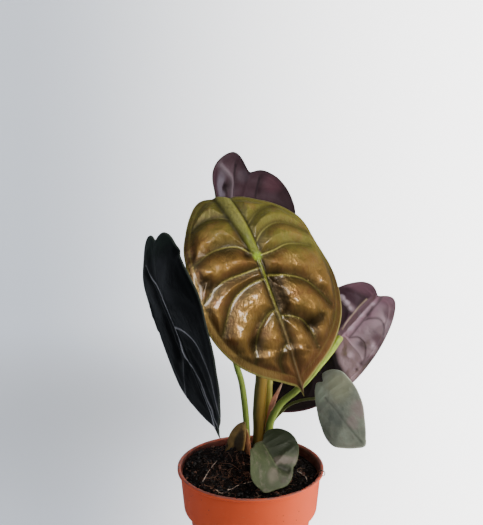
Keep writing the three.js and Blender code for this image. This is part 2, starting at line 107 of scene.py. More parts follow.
LEAVES = {
    "front": dict(
        LEAF, junction=(4, -50, 295), face=(15, 22), spin=-16, length=106.5, bend=(16, 36),
        wide=(1.1, 0.96), lobe=(0.87, 1.19), notch=(0, 16), tip=1.25,
        curl=((-44, -41, -20), (-31, 10, -20)),
        quilt=3.5, cell=6.2, band=0.92, recurve=2, ridge=3.2, ridge_turn=0.12,
        ribs=(1.5, 0.7), wrinkle=0.28, wave=1.6,
        veins=(((0, 0), (-0.11, 0.12), (-0.13, 0.28), (-0.07, 0.46)),
               ((0.08, 0), (0.08, 0.14), (0.09, 0.31), (0.18, 0.48)),
               ((0.16, 0), (0.17, 0.14), (0.24, 0.29), (0.42, 0.42)),
               ((0.38, 0), (0.41, 0.1), (0.5, 0.19), (0.68, 0.26)),
               ((-0.2, 0), (-0.33, 0.1), (-0.38, 0.23), (-0.34, 0.37)),
               ((0, 0), (0, -0.12), (-0.01, -0.26), (0.05, -0.46)),
               ((0.14, 0), (0.19, -0.15), (0.29, -0.3), (0.5, -0.42)),
               ((0.43, 0), (0.48, -0.11), (0.57, -0.18), (0.74, -0.2)),
               ((-0.07, 0), (-0.16, -0.12), (-0.18, -0.28), (-0.06, -0.5)),
               ((-0.21, 0), (-0.31, -0.15), (-0.33, -0.3), (-0.26, -0.43)),
               ((0.62, 0), (0.68, 0.07), (0.75, 0.1), (0.84, 0.09))),
        relief=((((-0.14, 0.43),), 4, -1.2), (((0.06, 0.41),), 5.5, -2.2), (((-0.03, 0.07),), 3.5, -1.4),
                (((-0.1, 0.2),), 9, -0.9), (((0.19, -0.06), (0.35, -0.06)), 5.5, -2.3),
                (((0.57, -0.19), (0.55, -0.28)), 5.5, -1.7), (((0.55, 0.24),), 6, -1.4),
                (((0.7, -0.11),), 4, -1), (((0.42, -0.06),), 4, -1),
                (((0, 0.34), (0, 0.22), (0.01, 0.14)), 4.5, 1.1),
                (((0.4, 0.1), (0.45, 0.15), (0.51, 0.21)), 2.6, 1.1),
                (((0.07, -0.1), (0.12, -0.13)), 3.5, 0.9), (((0.4, -0.25),), 3.5, 1),
                (((0.34, -0.4),), 3.5, 0.9), (((0.8, -0.09), (0.78, -0.17)), 4.5, 1.8),
                (((-0.15, 0.33),), 2.5, 0.8),
                (((0.6, 0.34), (0.64, 0.27), (0.67, 0.15), (0.68, 0.02), (0.72, -0.12)), 3, 1.5)),
        stem=((6.2, 28.5, 96), (6.4, 28.4, 110), (7.4, 28, 126), (7.3, 28, 143), (8.5, 28, 161),
              (9.3, 28, 174), (8.7, 27, 206), (6, 22, 242), (1.5, 8, 278), (-1, -15, 297), (1, -34, 297)),
        stem_radius=(4.6, 4.9, 5.2, 5.2, 4.8, 4, 3.4, 3, 2.7),
        blade_slot="blade_gold", stem_slot="stem_brown"),
    "left": dict(
        LEAF, junction=(-65.1, -47.3, 263.1), face=(-59.4, -15.6), spin=-23, length=112.1, bend=(-6.6, 33.4),
        wide=(0.96, 1.064), lobe=(0.82, 0.92), notch=(0.1, 12), slant=0.12,
        curl=((-18.4, -3.4, 10.3), (-22, -14.7, -4)),
        quilt=1.1, cell=6.5, recurve=1.5, ribs=(1.3, 0.5), wave=2,
        threads=(((-0.24, 0.13), (-0.15, 0.06), (-0.05, 0), (0.21, 0.01), (0.42, 0.02), (0.52, -0.04),
                  (0.61, -0.09), (0.77, -0.06), (0.93, -0.03)),
                 ((0.21, 0.01), (0.26, -0.13), (0.35, -0.25), (0.47, -0.29), (0.58, -0.31), (0.72, -0.25),
                  (0.88, -0.14)),
                 ((0.64, -0.05), (0.72, -0.03), (0.82, -0.02), (0.92, 0)),
                 # The last thread runs along the raised fold: a painted highlight on its crest.
                 ((0.45, 0.08), (0.59, 0.23), (0.74, 0.35))),
        veins=(((0.2, 0.02), (0.27, -0.12), (0.36, -0.24), (0.48, -0.28), (0.63, -0.27), (0.88, -0.1)),
               ((-0.08, 0), (-0.17, -0.15), (-0.22, -0.29), (-0.16, -0.42)),
               ((0.03, 0), (0.03, -0.15), (0.08, -0.3), (0.14, -0.45)),
               ((0, 0), (-0.1, 0.15), (-0.12, 0.3), (-0.06, 0.42)),
               ((0.28, 0.01), (0.36, 0.13), (0.46, 0.22), (0.62, 0.27))),
        relief=((((-0.19, 0.15), (-0.03, 0.11), (0.17, 0.12), (0.41, 0.17)), 4.5, -2.2),
                (((0.3, 0.06), (0.42, 0.04), (0.53, 0.14), (0.68, 0.3)), 3, 1.4),
                (((0.02, 0.36), (0.08, 0.39), (0.19, 0.5)), 2.5, 1.2),
                (((0.4, -0.08), (0.6, -0.15), (0.8, -0.09)), 4, -1.4), (((-0.24, -0.41),), 4, -2)),
        stem=((-3.2, 24, 96), (-3.2, 24, 108), (-2.8, 24, 124), (-5, 24, 153), (-7.6, 24, 171),
              (-11.5, 23, 185), (-15.2, 20, 204), (-20, 12, 229), (-30, -2, 251), (-43, -21, 264),
              (-54, -37, 266.5)),
        stem_radius=(2.7, 2.7, 2.6, 2.5, 2.4, 2.3, 2.2), blade_slot="blade_dark", stem_slot="stem_green"),
    "back": dict(
        LEAF, junction=(-9.3, 58, 310.5), face=(206.8, 8.6), spin=-14.3, length=97.4, bend=(20, -9),
        wide=(1.047, 1.003), lobe=(0.965, 0.73), notch=(0.22, 13.8),
        curl=((-18.4, -77.7, -20), (-9.9, -25.2, -20)),
        quilt=0.5, cell=6, recurve=1.2, ribs=(0.4, 0.15), wave=1.5,
        creases=(((-0.36, -0.15), (-0.24, -0.14), (-0.1, -0.11)),
                 ((-0.29, 0.11), (-0.21, 0.11), (-0.12, 0.12)),
                 ((-0.2, -0.24), (-0.15, -0.2), (-0.1, -0.19))),
        relief=((((-0.33, -0.33), (-0.28, -0.23), (-0.23, -0.17), (-0.1, -0.13)), 2.6, -1.8),
                (((-0.16, -0.22),), 4, 2.2), (((-0.38, -0.16), (-0.26, -0.14), (-0.12, -0.11)), 2, 0.6),
                (((-0.3, 0.11), (-0.14, 0.13)), 2, 0.6)),
        stem=((12.5, 37, 96), (12.6, 37, 110), (14.7, 36, 139), (16.2, 37, 171), (16.5, 39, 202),
              (13, 42, 245), (5, 45, 286), (-1, 47, 302), (-5, 50.5, 309)),
        stem_radius=(3.2, 3.2, 3, 2.8, 2.6, 2.3, 2), blade_slot="blade_purple", stem_slot="stem_yellow"),
    "right": dict(
        LEAF, junction=(75.2, 30, 208.6), face=(157, 7.3), spin=-38.2, length=102.1, bend=(14.5, -2.9),
        wide=(0.692, 0.595), lobe=(1.079, 1.16), notch=(0.09, 14),
        curl=((-16.4, -18.6, -15), (-11.2, -12.2, -10.2)),
        quilt=2, cell=7, recurve=1.2, ribs=(1.9, 0.6), wrinkle=0.5, wave=2.2,
        threads=(((-0.06, -0.03), (-0.12, -0.04), (-0.2, -0.045), (-0.3, -0.05), (-0.4, -0.045)),),
        creases=(((-0.04, 0.06), (-0.22, 0.05), (-0.33, 0.04), (-0.44, 0.04), (-0.51, 0.03)),
                 ((-0.24, 0.05), (-0.3, 0.08), (-0.35, 0.14), (-0.32, 0.21), (-0.27, 0.24)),
                 ((-0.04, 0.06), (-0.09, 0.11), (-0.09, 0.17), (-0.05, 0.22), (0.01, 0.26), (0.08, 0.27))),
        veins=(((-0.04, 0.03), (-0.14, -0.01), (-0.26, 0.04), (-0.36, 0.16)),
               ((-0.02, 0.02), (0, 0.12), (0.02, 0.22), (0.1, 0.31)),
               ((0.16, 0), (0.22, 0.1), (0.3, 0.18), (0.42, 0.24)),
               ((0.4, 0), (0.48, 0.07), (0.58, 0.12), (0.68, 0.14)),
               ((-0.04, -0.02), (-0.18, -0.07), (-0.3, -0.15), (-0.34, -0.26)),
               ((0, -0.02), (0, -0.14), (0.02, -0.24), (0.08, -0.34)),
               ((0.18, 0), (0.24, -0.12), (0.32, -0.22), (0.44, -0.28)),
               ((0.42, 0), (0.5, -0.08), (0.6, -0.14), (0.7, -0.15))),
        relief=((((0.09, 0.14),), 3.2, -2.8), (((-0.13, 0.22),), 3.2, -2.8), (((-0.05, 0.16),), 4, 1.6),
                (((-0.27, -0.19), (-0.25, -0.08)), 2.5, -2), (((0.08, 0.28), (-0.1, 0.33)), 3.5, 1.6),
                (((-0.29, 0.04), (-0.38, 0.02)), 2, 1.2), (((0.15, 0.27),), 2, 1.2),
                (((-0.4, 0.01), (-0.27, 0.0), (-0.1, 0.01)), 2, -1)),
        stem=((15.5, 23.5, 96), (15.5, 23.6, 108), (15.6, 24, 120), (17.2, 24, 135), (25.3, 24, 151),
              (38, 24, 162.6), (46.6, 24, 171.8), (56.2, 24, 184.2), (66, 25, 196.6)),
        stem_radius=(3.3, 3.3, 3.2, 3, 2.9, 2.9, 2.9), blade_slot="blade_purple", stem_slot="stem_green"),
    "small_right": dict(
        LEAF, junction=(62.2, -5, 171), face=(-25.5, 18.2), spin=-44.2, length=51.5, bend=(13.3, 19.1),
        outline=((-180, 0.23), (-171, 0.22), (-165, 0.33), (-150, 0.37), (-118, 0.41), (-88, 0.41),
                 (-55, 0.49), (-31, 0.61), (-18, 0.71), (-6, 0.86), (1, 0.97), (10, 0.93), (22, 0.87),
                 (34, 0.82), (46, 0.69), (58, 0.53), (81, 0.33), (110, 0.25), (145, 0.25), (165, 0.27),
                 (180, 0.23)),
        curl=((-10, -12.2, -10), (-10, -50, -10)),
        quilt=0.5, cell=3.5, recurve=0.5, ribs=(0.8, 0.3), wave=1,
        creases=(((0.02, 0.08), (0.19, 0.06), (0.31, 0.05), (0.51, 0.05), (0.68, 0.04), (0.88, 0.03)),),
        stem=((16.5, 32, 96), (16.6, 32, 108), (18.4, 31.5, 130), (26.4, 30, 141.6), (32.4, 28, 148),
              (39.8, 24, 153.2), (46.8, 18, 157.3), (52.3, 11, 160.8), (57.5, 3.5, 166)),
        stem_radius=(1.4, 1.4, 1.3, 1.2, 1.1), blade_slot="blade_young", stem_slot="stem_olive"),
    "small_front": dict(
        LEAF, junction=(11.5, -20.7, 133.2), face=(9.6, 49.9), spin=-25.3, length=39.4, bend=(10.3, 5),
        sway=8.5,
        outline=((-180, 0.12), (-163, 0.15), (-151, 0.27), (-130, 0.39), (-105, 0.5), (-82, 0.6),
                 (-56, 0.7), (-34, 0.75), (-26, 0.75), (-18, 0.85), (-8, 0.91), (9, 0.88), (26, 0.91),
                 (36, 0.87), (52, 0.86), (66, 0.86), (76, 0.85), (86, 0.6), (95, 0.38), (133, 0.18),
                 (180, 0.12)),
        curl=((-10, -4, -10), (-10, 29, -10)), fold=((5, 14, 3), (5, 29, 3)),
        quilt=0.3, cell=3, recurve=0.5, ribs=(0.8, 0.3), wave=0.8,
        threads=(((-0.02, 0.05), (0.14, 0.05), (0.35, 0.03), (0.48, 0), (0.6, -0.05)),),
        relief=((((0.51, -0.06), (0.59, -0.13), (0.65, -0.2)), 2.6, -1.5),
                (((0.33, -0.5), (0.36, -0.25), (0.42, -0.06)), 2.5, 1)),
        stem=((7, 13, 96), (7, 12.5, 106), (7.5, 8, 118), (9, -2, 126), (10.5, -12, 129.5)),
        stem_radius=(1.6, 1.5, 1.4, 1.3), blade_slot="blade_young", stem_slot="stem_olive"),
}

# Flattened sheaths: the wide side's direction, the setting of the base colour with the tip's colour and the
# stains' strength, the middle line, and the half width and half thickness along it.
SHEATHS = {
    "sheath_pink": dict(
        turn=20, slot="sheath_pink", finish=("pink", (0.50, 0.34, 0.22, 1), 0),
        path=((12.6, 31.3, 96), (12.8, 31.4, 112), (14.4, 31.5, 128), (16.8, 29.6, 142), (19.6, 28, 152),
              (23, 27.4, 160), (26.5, 27, 169)),
        profile=((1, 1), (1, 1), (1.6, 1), (2.1, 0.9), (2.6, 0.7), (1.7, 0.6), (0.5, 0.5))),
    "scale_brown": dict(
        turn=-14, slot="scale_brown", finish=("bark", (0.15, 0.11, 0.04, 1), 0.9),
        path=((-14, 15, 96), (-14, 15.2, 104), (-13, 15.6, 115), (-10.5, 16.6, 125), (-7.5, 17.8, 132),
              (-4.5, 18.6, 137)),
        profile=((6, 1.6), (7.4, 1.6), (7.8, 1.4), (7, 1.2), (4.8, 0.9), (1.2, 0.6))),
    "sheath_foot": dict(
        turn=0, slot="scale_brown", finish=("rust", (0.42, 0.26, 0.12, 1), 0.2),
        path=((-2, 18.6, 96), (-2, 18.8, 106), (-2.2, 19.4, 116), (-2.6, 19.9, 124), (-2.9, 20.2, 130)),
        profile=((2.8, 1.2), (2.9, 1.2), (2.6, 1), (1.7, 0.8), (0.5, 0.5))),
}

# Single roots that lie on the soil, and a curled scrap over the pot's rim that has heights of its own:
# points on the way, radius, tone.
ROOTS = (
    (((52, -12, 102), (54.4, -13.5, 107), (57, -15, 109.4), (59.4, -17, 109), (59, -20, 107.6),
      (57, -21, 107.4)), 0.6, 0.6),
    (((-38.8, -17), (-36, -8), (-32.3, 1), (-27, 11), (-22.4, 20)), 0.42, 0.97),
    (((-28.3, -32), (-24, -35), (-21.3, -36.4), (-17, -35)), 0.38, 0.93),
    (((-19.5, -32), (-15, -28), (-11.6, -23.5), (-5, -20), (1.5, -17)), 0.36, 0.96),
    (((33, 9), (36.3, 4.8), (41.6, -2), (45, -9), (45.5, -15.6)), 0.5, 1.0),
    (((-26.3, 5.8), (-20, 2), (-14.8, 1.1), (-8, -5), (-2.5, -10.3)), 0.28, 0.7),
    (((-22, -12), (-15, -9), (-8, -11), (-2, -8)), 0.26, 0.72),
)

# The soil's side from its foot up along the pot's wall: radius and height, in millimetres.
SOIL_SIDE = np.array([(20, 2.6), (41.3, 2.6), (47.5, 66.8), (53, 73.5), (55.5, 97)])
SOIL_RADIUS = 55.6  # of its top
# Where its top is higher, as bell curves: the setting of the height, the place and the width.
SOIL_HEAPS = {"mound": (6, 27, 30), "heap": (-14.5, 10.5, 8.66), "bank": (-40, 22, 30)}
LEVEL_EDGE = 8  # over this way to the wall the mound and the heap fade out
CRUMB_REACH = 54.2  # the crumbs lie within this radius
FIBRE_REACH = 54  # and the fibres within this one
RIM_CRUMBS = 22  # how many of the crumbs lie on the pot's rim

# Lights: setting of the power, place and target in metres, width and height, colour, rays that miss them.
LAMPS = {
    "window": ("window_power", (1.15, 0, 0.42), (0, 0, 0.16), (0.7, 0.8), (1, 0.97, 0.93), "glossy"),
    "key": ("key_power", (1, -0.8, 0.5), (0, 0, 0.2), (0.5, 0.5), (1, 0.97, 0.93), "glossy"),
    "front": ("front_power", (0.42, -1, 0.95), (0, 0, 0.25), (0.3, 0.46), (1, 0.93, 0.86), "diffuse"),
}


def tint_setting(name, description, red, green, blue, **limits):
    """A colour setting."""
    return FloatVectorProperty(name=name, description=description, subtype="COLOR", size=4,
                               default=(red, green, blue, 1), **limits)


def size_setting(name, description, default, **limits):
    """A setting in millimetres."""
    return FloatProperty(name=name, description=f"{description}, in millimetres", default=default, **limits)


def amount_setting(name, description, default, **limits):
    """A setting without a length, from 0."""
    return FloatProperty(name=name, description=description, default=default, min=0, **limits)


class AlocasiaBladeSettings(bpy.types.PropertyGroup):
    """Sizes and colours of the leaf blades."""
    thickness: size_setting("Thickness", "Thickness of a blade away from its ribs", 0.8, min=0.3, max=2)
    quilting: amount_setting("Quilting", "Height of the bulges between the veins, over the modelled one", 1,
                             max=2, subtype="FACTOR")
    gold: tint_setting("Gold", "The front leaf's copper gold", 0.26, 0.145, 0.034)
    copper: tint_setting("Copper", "The front leaf's reddish tip and blotches", 0.19, 0.070, 0.028)
    olive: tint_setting("Olive", "The front leaf's green towards its back lobes", 0.165, 0.145, 0.022)
    lime: tint_setting("Lime", "The junction and the ridge of the front leaf", 0.27, 0.31, 0.018)
    dark: tint_setting("Black green", "The upper side of the left leaf", 0.0060, 0.0064, 0.0070)
    purple: tint_setting("Purple", "The undersides", 0.033, 0.0147, 0.0203)
    # Lighter than the underside's own maroon: partly a painted sheen.
    mauve: tint_setting("Mauve", "The right leaf's underside", 0.61, 0.43, 0.475)
    sage: tint_setting("Sage", "The young leaf in front", 0.048, 0.059, 0.027)
    pale: tint_setting("Pale sage", "The young leaf on the right", 0.26, 0.285, 0.215)


class AlocasiaStemSettings(bpy.types.PropertyGroup):
    """Colours of the leaf stems and the sheaths."""
    green: tint_setting("Green", "Stems of the left and right leaves", 0.25, 0.34, 0.06)
    brown: tint_setting("Golden brown", "The front leaf's thick stem", 0.28, 0.18, 0.035)
    yellow: tint_setting("Yellow green", "The back leaf's stem", 0.60, 0.56, 0.12)
    olive: tint_setting("Olive", "The young leaves' stems", 0.12, 0.13, 0.045)
    pink: tint_setting("Salmon pink", "The papery sheath between the stems", 0.70, 0.30, 0.18)
    bark: tint_setting("Old scale", "The broad dry scale at the foot", 0.26, 0.16, 0.045)
    rust: tint_setting("Foot sheath", "The small dry sheath at the left stem's foot", 0.34, 0.14, 0.06)


class AlocasiaPotSettings(bpy.types.PropertyGroup):
    """The nursery pot's sizes and its colour."""
    rim_radius: size_setting("Rim radius", "Radius over the rolled rim", 60, min=30, max=120)
    height: size_setting("Height", "Height of the pot", 107, min=50, max=220)
    wall: size_setting("Wall", "Wall thickness", 1.5, min=0.8, max=4)
    colour: tint_setting("Terracotta orange", "The pot's plastic", 0.72, 0.092, 0.026)


class AlocasiaSoilSettings(bpy.types.PropertyGroup):
    """The potting mix."""
    edge: size_setting("Level", "Height of the soil at the pot's wall", 98.5)
    mound: size_setting("Mound", "How far the soil rises at the stems", 8.5)
    heap: size_setting("Heap", "Height of the small heap before the old scale", 11)
    bank: size_setting("Bank", "How much higher the soil lies at the wall, back left", 6.5)
    crumbs: IntProperty(name="Crumbs", description="Number of loose crumbs", default=1500, min=0, max=3000)
    fibres: IntProperty(
        name="Fibres", description="Number of coir and root fibres", default=150, min=0, max=400)
    colour: tint_setting("Peat", "The dark potting mix", 0.0075, 0.0044, 0.0034)


class AlocasiaStageSettings(bpy.types.PropertyGroup):
    """Floor, backdrop and lights."""
    floor: tint_setting("Floor", "Floor and backdrop colour", 0.42, 0.425, 0.435)
    room: size_setting("Room", "Radius of the round backdrop", 1750, min=1200)
    curve: size_setting("Curve", "Radius at which the floor turns up into the wall", 700)
    dim: tint_setting("Dim side", "The backdrop's own light on the left", 0.42, 0.485, 0.59)
    bright: tint_setting("Bright side", "The backdrop's own light on the right", 4.6, 4.55, 4.5, max=10)
    window_power: amount_setting("Window", "Power of the large soft light on the right, in watts", 18)
    key_power: amount_setting("Key", "Power of the soft light at the front right, in watts", 11)
    front_power: amount_setting("Highlights", "Power of the light that only gloss shows, in watts", 11)
    ambient: amount_setting("Ambient", "Strength of the even light from all round", 0.12)
    gleam: amount_setting("Gleam", "Strength of the bright patch that glossy surfaces reflect", 1.3)


class Value:
    """A node's output in an expression: each operator adds a Math node."""

    def __init__(self, maker, output):
        self.maker = maker
        self.output = output

    def math(self, operation, first, second):
        """A Math node of two values or numbers."""
        return self.maker.node("ShaderNodeMath", {"operation": operation}, {0: first, 1: second})

    def __add__(self, other):
        return self.math("ADD", self, other)

    def __radd__(self, other):
        return self.math("ADD", other, self)

    def __sub__(self, other):
        return self.math("SUBTRACT", self, other)

    def __rsub__(self, other):
        return self.math("SUBTRACT", other, self)

    def __mul__(self, other):
        return self.math("MULTIPLY", self, other)

    def __truediv__(self, other):
        return self.math("DIVIDE", self, other)

    def __pow__(self, other):
        return self.math("POWER", self, other)


class Nodes:
    """A node tree in the making, with the few kinds of node that the looks here need."""

    def __init__(self, tree):
        self.tree = tree

    def node(self, kind, settings=None, sockets=None, output=0):
        """Adds a node: its settings first, then the value or link of each socket. A setting called stops
        fills a colour ramp with (place, colour) pairs."""
        node = self.tree.nodes.new(kind)
        for key, value in (settings or {}).items():
            if key == "stops":
                ramp = node.color_ramp
                while len(ramp.elements) < len(value):
                    ramp.elements.new(0.5)
                for element, (place, colour) in zip(ramp.elements, value):
                    element.position = place
                    element.color = colour
            else:
                setattr(node, key, value)
        for key, value in (sockets or {}).items():
            self.plug(node.inputs[key], value)
        return Value(self, node.outputs[output])

    def plug(self, socket, value):
        """Links a value to a socket, or sets the socket to a number or colour."""
        if isinstance(value, Value):
            self.tree.links.new(value.output, socket)
        else:
            socket.default_value = value

    def attribute(self, name):
        """One of the mesh's own values."""
        return self.node("ShaderNodeAttribute", {"attribute_name": name}, output="Fac")

    def attributes(self, names):
        """Several of them, named in one line."""
        return [self.attribute(name) for name in names.split()]

    def place(self):
        """The place on the object, in metres."""
        return self.node("ShaderNodeTexCoord", output="Object")

    def part(self, vector, letter):
        """X, Y or Z of a vector."""
        return self.node("ShaderNodeSeparateXYZ", None, {0: vector}, output=letter)

    def noise(self, scale, detail=3, roughness=0.6, distortion=0.0, stretch=None):
        """Layered noise from 0 to 1, with more of it along an axis whose stretch is larger."""
        place = self.place()
        if stretch:
            place = self.node("ShaderNodeMapping", None, {"Vector": place, "Scale": stretch})
        return self.node("ShaderNodeTexNoise", None, {
            "Vector": place, "Scale": scale, "Detail": detail, "Roughness": roughness,
            "Distortion": distortion})

    def cells(self, scale):
        """Distance to the nearest of many scattered points."""
        return self.node("ShaderNodeTexVoronoi", {"feature": "F1"}, {"Vector": self.place(), "Scale": scale})

    def between(self, value, low, high):
        """0 below low, 1 above high, smooth between. With low above high it falls instead."""
        return self.node("ShaderNodeMapRange", {"interpolation_type": "SMOOTHSTEP"}, {
            "Value": value, "From Min": low, "From Max": high})

    def mix(self, factor, first, second):
        """Two colours mixed by a factor."""
        return self.node("ShaderNodeMix", {"data_type": "RGBA"}, {0: factor, 6: first, 7: second}, output=2)

    def tones(self, value, low, high, first, second):
        """The first colour where the value is below low, the second where it is above high."""
        return self.mix(self.between(value, low, high), first, second)

    def layers(self, base, *layers):
        """Colours laid over a base one after another, each by its amount."""
        for amount, colour in layers:
            base = self.mix(amount, base, colour)
        return base

    def bump(self, height, distance):
        """A normal bent by a height, whose full range is the distance in millimetres."""
        sockets = {"Strength": 1.0, "Distance": distance * MM, "Height": height}
        return self.node("ShaderNodeBump", None, sockets)


class Finish(Nodes):
    """A material in the making: a principled surface and the nodes that feed it."""

    def __init__(self, name, **constants):
        self.material = bpy.data.materials.new(f"fine_{name}")
        self.material.use_nodes = True
        super().__init__(self.material.node_tree)
        self.surface = self.tree.nodes["Principled BSDF"]
        self.feed(**constants)

    def feed(self, **sockets):
        """Sets or links the surface's sockets, whose names have a _ for each space. Returns the material."""
        for name, value in sockets.items():
            self.plug(self.surface.inputs[name.replace("_", " ")], value)
        return self.material

    def ribs(self, veins=0.85, midrib=0.8, band=0.3):
        """The side veins, the midrib and the collective vein, by their amounts."""
        vein, rib, round_rim = self.attributes("vein rib band")
        return self.between(vein * veins + rib * midrib + round_rim * band, 0, 1)

    def spots(self, spots, wobble):
        """Layers of soft round spots: places along and across the blade, radii, colours and amounts, with
        noise that makes their borders uneven."""
        along, across = self.attributes("along across")
        for spot_along, spot_across, radius, colour, amount in spots:
            away = ((along - spot_along) ** 2 + (across - spot_across) ** 2) ** 0.5 + wobble
            yield self.between(away, 1.35 * radius, 0.5 * radius) * amount, colour


def shade(colour, factor):
    """A colour made darker or lighter."""
    return tuple(min(1.0, c * factor) for c in tuple(colour)[:3]) + (1.0,)


def mixed(first, second, share):
    """A colour part of the way from the first to the second."""
    return tuple(a + (b - a) * share for a, b in zip(tuple(first)[:3], second)) + (1.0,)


def smooth(t):
    """3 t^2 - 2 t^3 for t held between 0 and 1."""
    t = np.clip(t, 0, 1)
    return t * t * (3 - 2 * t)


def bell(distance, width, power=2):
    """exp(-(distance / width)^power)."""
    return np.exp(-(distance / width) ** power)


def round_angles(count):
    """Even angles round a full turn."""
    return np.linspace(0, 2 * np.pi, count, endpoint=False)


def turned(radius, height, count):
    """Rings round the Z axis, one for each radius and height: (radius cos, radius sin, height)."""
    turn = round_angles(count)
    radius = np.asarray(radius, float)[:, None]
    height = np.asarray(height, float)[:, None]
    return np.stack(np.broadcast_arrays(radius * np.cos(turn), radius * np.sin(turn), height), -1)


def neighbours(rows, t):
    """The four rows round t, which runs from 0 to 1 through evenly spaced rows, and how far it has come from
    the second to the third. The end rows are mirrored outwards."""
    rows = np.asarray(rows, float)
    last = len(rows) - 1
    ends = np.vstack([2 * rows[0] - rows[1], rows, 2 * rows[-1] - rows[-2]])
    s = np.clip(np.asarray(t, float), 0, 1) * last
    i = np.minimum(s.astype(int), last - 1)
    return ends[i], ends[i + 1], ends[i + 2], ends[i + 3], (s - i)[..., None]


def catmull(rows, t):
    """Catmull-Rom values through evenly spaced rows at t from 0 to 1."""
    a, b, c, d, f = neighbours(rows, t)
    square = 2 * a - 5 * b + 4 * c - d
    cube = 3 * b - a - 3 * c + d
    return 0.5 * (2 * b + (c - a) * f + square * f ** 2 + cube * f ** 3)


def lattice_noise(points, size, seed):
    """Value noise from -1 to 1: random numbers on a repeating lattice of the given cell size, blended
    smoothly between the eight corners round each point."""
    table = np.random.default_rng(seed).uniform(-1, 1, (32, 32, 32))
    p = np.asarray(points, float) / size
    cell = np.floor(p).astype(int)
    f = smooth(p - cell)
    total = np.zeros(p.shape[:-1])
    for step in np.ndindex(2, 2, 2):
        corner = np.moveaxis((cell + step) % 32, -1, 0)
        total += table[tuple(corner)] * np.abs(1 - np.array(step) - f).prod(axis=-1)
    return total


def layered_noise(points, size, seed, layers=4):
    """Noise with each layer half the size and 0.55 of the height of the one before."""
    return sum(0.55 ** k * lattice_noise(points, size / 2 ** k, seed + k) for k in range(layers))


def margin(leaf, q):
    """The flat margin at q from -1 (back) over 0 (tip) to 1 (back): polar knots blended by Catmull-Rom, a
    notch taken out of the back as a bell curve, the back lobes and the two sides scaled, the drip tip
    stretched and the back slanted. A young leaf has knots of its own all round instead."""
    if "outline" in leaf:
        angle, radius = np.moveaxis(catmull(leaf["outline"], (q + 1) / 2), -1, 0)
        angle = np.radians(angle)
        return radius * np.cos(angle) * leaf["length"], radius * np.sin(angle) * leaf["length"]
    ring = catmull(OUTLINE, np.abs(q))
    angle = np.radians(ring[..., 0])
    from_back = np.pi - angle
    depth, width = leaf["notch"]
    radius = ring[..., 1] * (1 - depth * bell(from_back, np.radians(width)))
    side = np.where(q < 0, 0, 1)
    lobes = np.array(leaf["lobe"])
    lobe = lobes.mean() + (lobes[side] - lobes.mean()) * smooth(from_back / np.radians(25))
    x = radius * np.cos(angle)
    x = np.where(x < 0, x * lobe, x)
    x = np.where(x > DRIP_TIP, DRIP_TIP + (x - DRIP_TIP) * leaf["tip"], x)
    y = radius * np.sin(angle) * np.array(leaf["wide"])[side] * np.sign(q)
    y = y + leaf["slant"] * np.minimum(x, 0)
    return x * leaf["length"], y * leaf["length"]


def blade_frame(leaf):
    """Unit vectors at the junction: along to the tip, out of the upper side, and to the side."""
    azimuth, elevation = np.radians(leaf["face"])
    normal = np.array([np.sin(azimuth) * np.cos(elevation), -np.cos(azimuth) * np.cos(elevation),
                       np.sin(elevation)])
    along = np.array([0, 0, -1.0]) + normal[2] * normal
    along /= np.linalg.norm(along)
    side = np.cross(along, normal)
    spin = np.radians(leaf["spin"])
    along = along * np.cos(spin) + side * np.sin(spin)
    return along, normal, np.cross(along, normal)


def embed(leaf, x, y):
    """Flat blade points in space: the spine bends as one arc to the tip and one to the back, and each side
    leaves the spine at its fold and curls as an arc, both blended from back to middle to tip."""
    along, normal, side = blade_frame(leaf)
    to_tip = x >= 0
    reach = np.abs(x) / np.where(to_tip, leaf["length"], leaf["length"] * BACK_LOBE)
    turn = np.radians(np.where(to_tip, *leaf["bend"])) * reach
    turn = np.where(np.abs(turn) < 1e-9, 1e-9, turn)
    forward = x * np.sin(turn) / turn
    drop = np.abs(x) * (1 - np.cos(turn)) / turn
    signed = np.where(to_tip, turn, -turn)[..., None]
    up = normal * np.cos(signed) + along * np.sin(signed)
    blend = smooth(reach)

    def sides(rows):
        """An angle at each point from rows of angles at the back, the middle and the tip of both sides."""
        back, middle, tip = np.moveaxis(np.array(rows, float)[np.where(y < 0, 0, 1)], -1, 0)
        return np.radians(middle + (np.where(to_tip, tip, back) - middle) * blend)

    fold = sides(leaf["fold"])
    curl = sides(leaf["curl"]) / (CURL_WIDTH * leaf["length"])
    curl = np.where(np.abs(curl) < 1e-9, 1e-9, curl)
    width = np.abs(y)
    lateral = (np.sin(fold + curl * width) - np.sin(fold)) / curl
    lift = (np.cos(fold) - np.cos(fold + curl * width)) / curl
    sway = np.where(to_tip, leaf["sway"] * reach ** 2, 0)
    return (np.array(leaf["junction"], float) + along * forward[..., None] - normal * drop[..., None]
            + side * (np.sign(y) * lateral + sway)[..., None] + up * lift[..., None])


def leaf_line(leaf, points, count=25):
    """A smooth line in the flat blade through points given over the leaf's length."""
    return catmull(np.array(points) * leaf["length"], np.linspace(0, 1, count))


def side_veins(leaf):
    """The side veins in the flat blade: smooth curves through the leaf's own points, or else quadratic curves
    that leave the midrib and sweep round to the band."""
    if "veins" in leaf:
        return [leaf_line(leaf, points) for points in leaf["veins"]]
    t = np.linspace(0, 1, 25)[:, None]
    veins = []
    for sign in (-1, 1):
        mx, my = margin(leaf, sign * np.linspace(0.01, 1, 400))
        around = np.arctan2(np.abs(my), mx)
        for start, degrees in SIDE_VEINS:
            k = np.argmin(np.abs(around - np.radians(degrees)))
            p0 = np.array([start * leaf["length"], 0])
            p2 = 0.9 * np.array([mx[k], my[k]])
            p1 = p0 + (p2 - p0) * (0.18, 0.62)
            veins.append((1 - t) ** 2 * p0 + 2 * t * (1 - t) * p1 + t ** 2 * p2)
    return veins


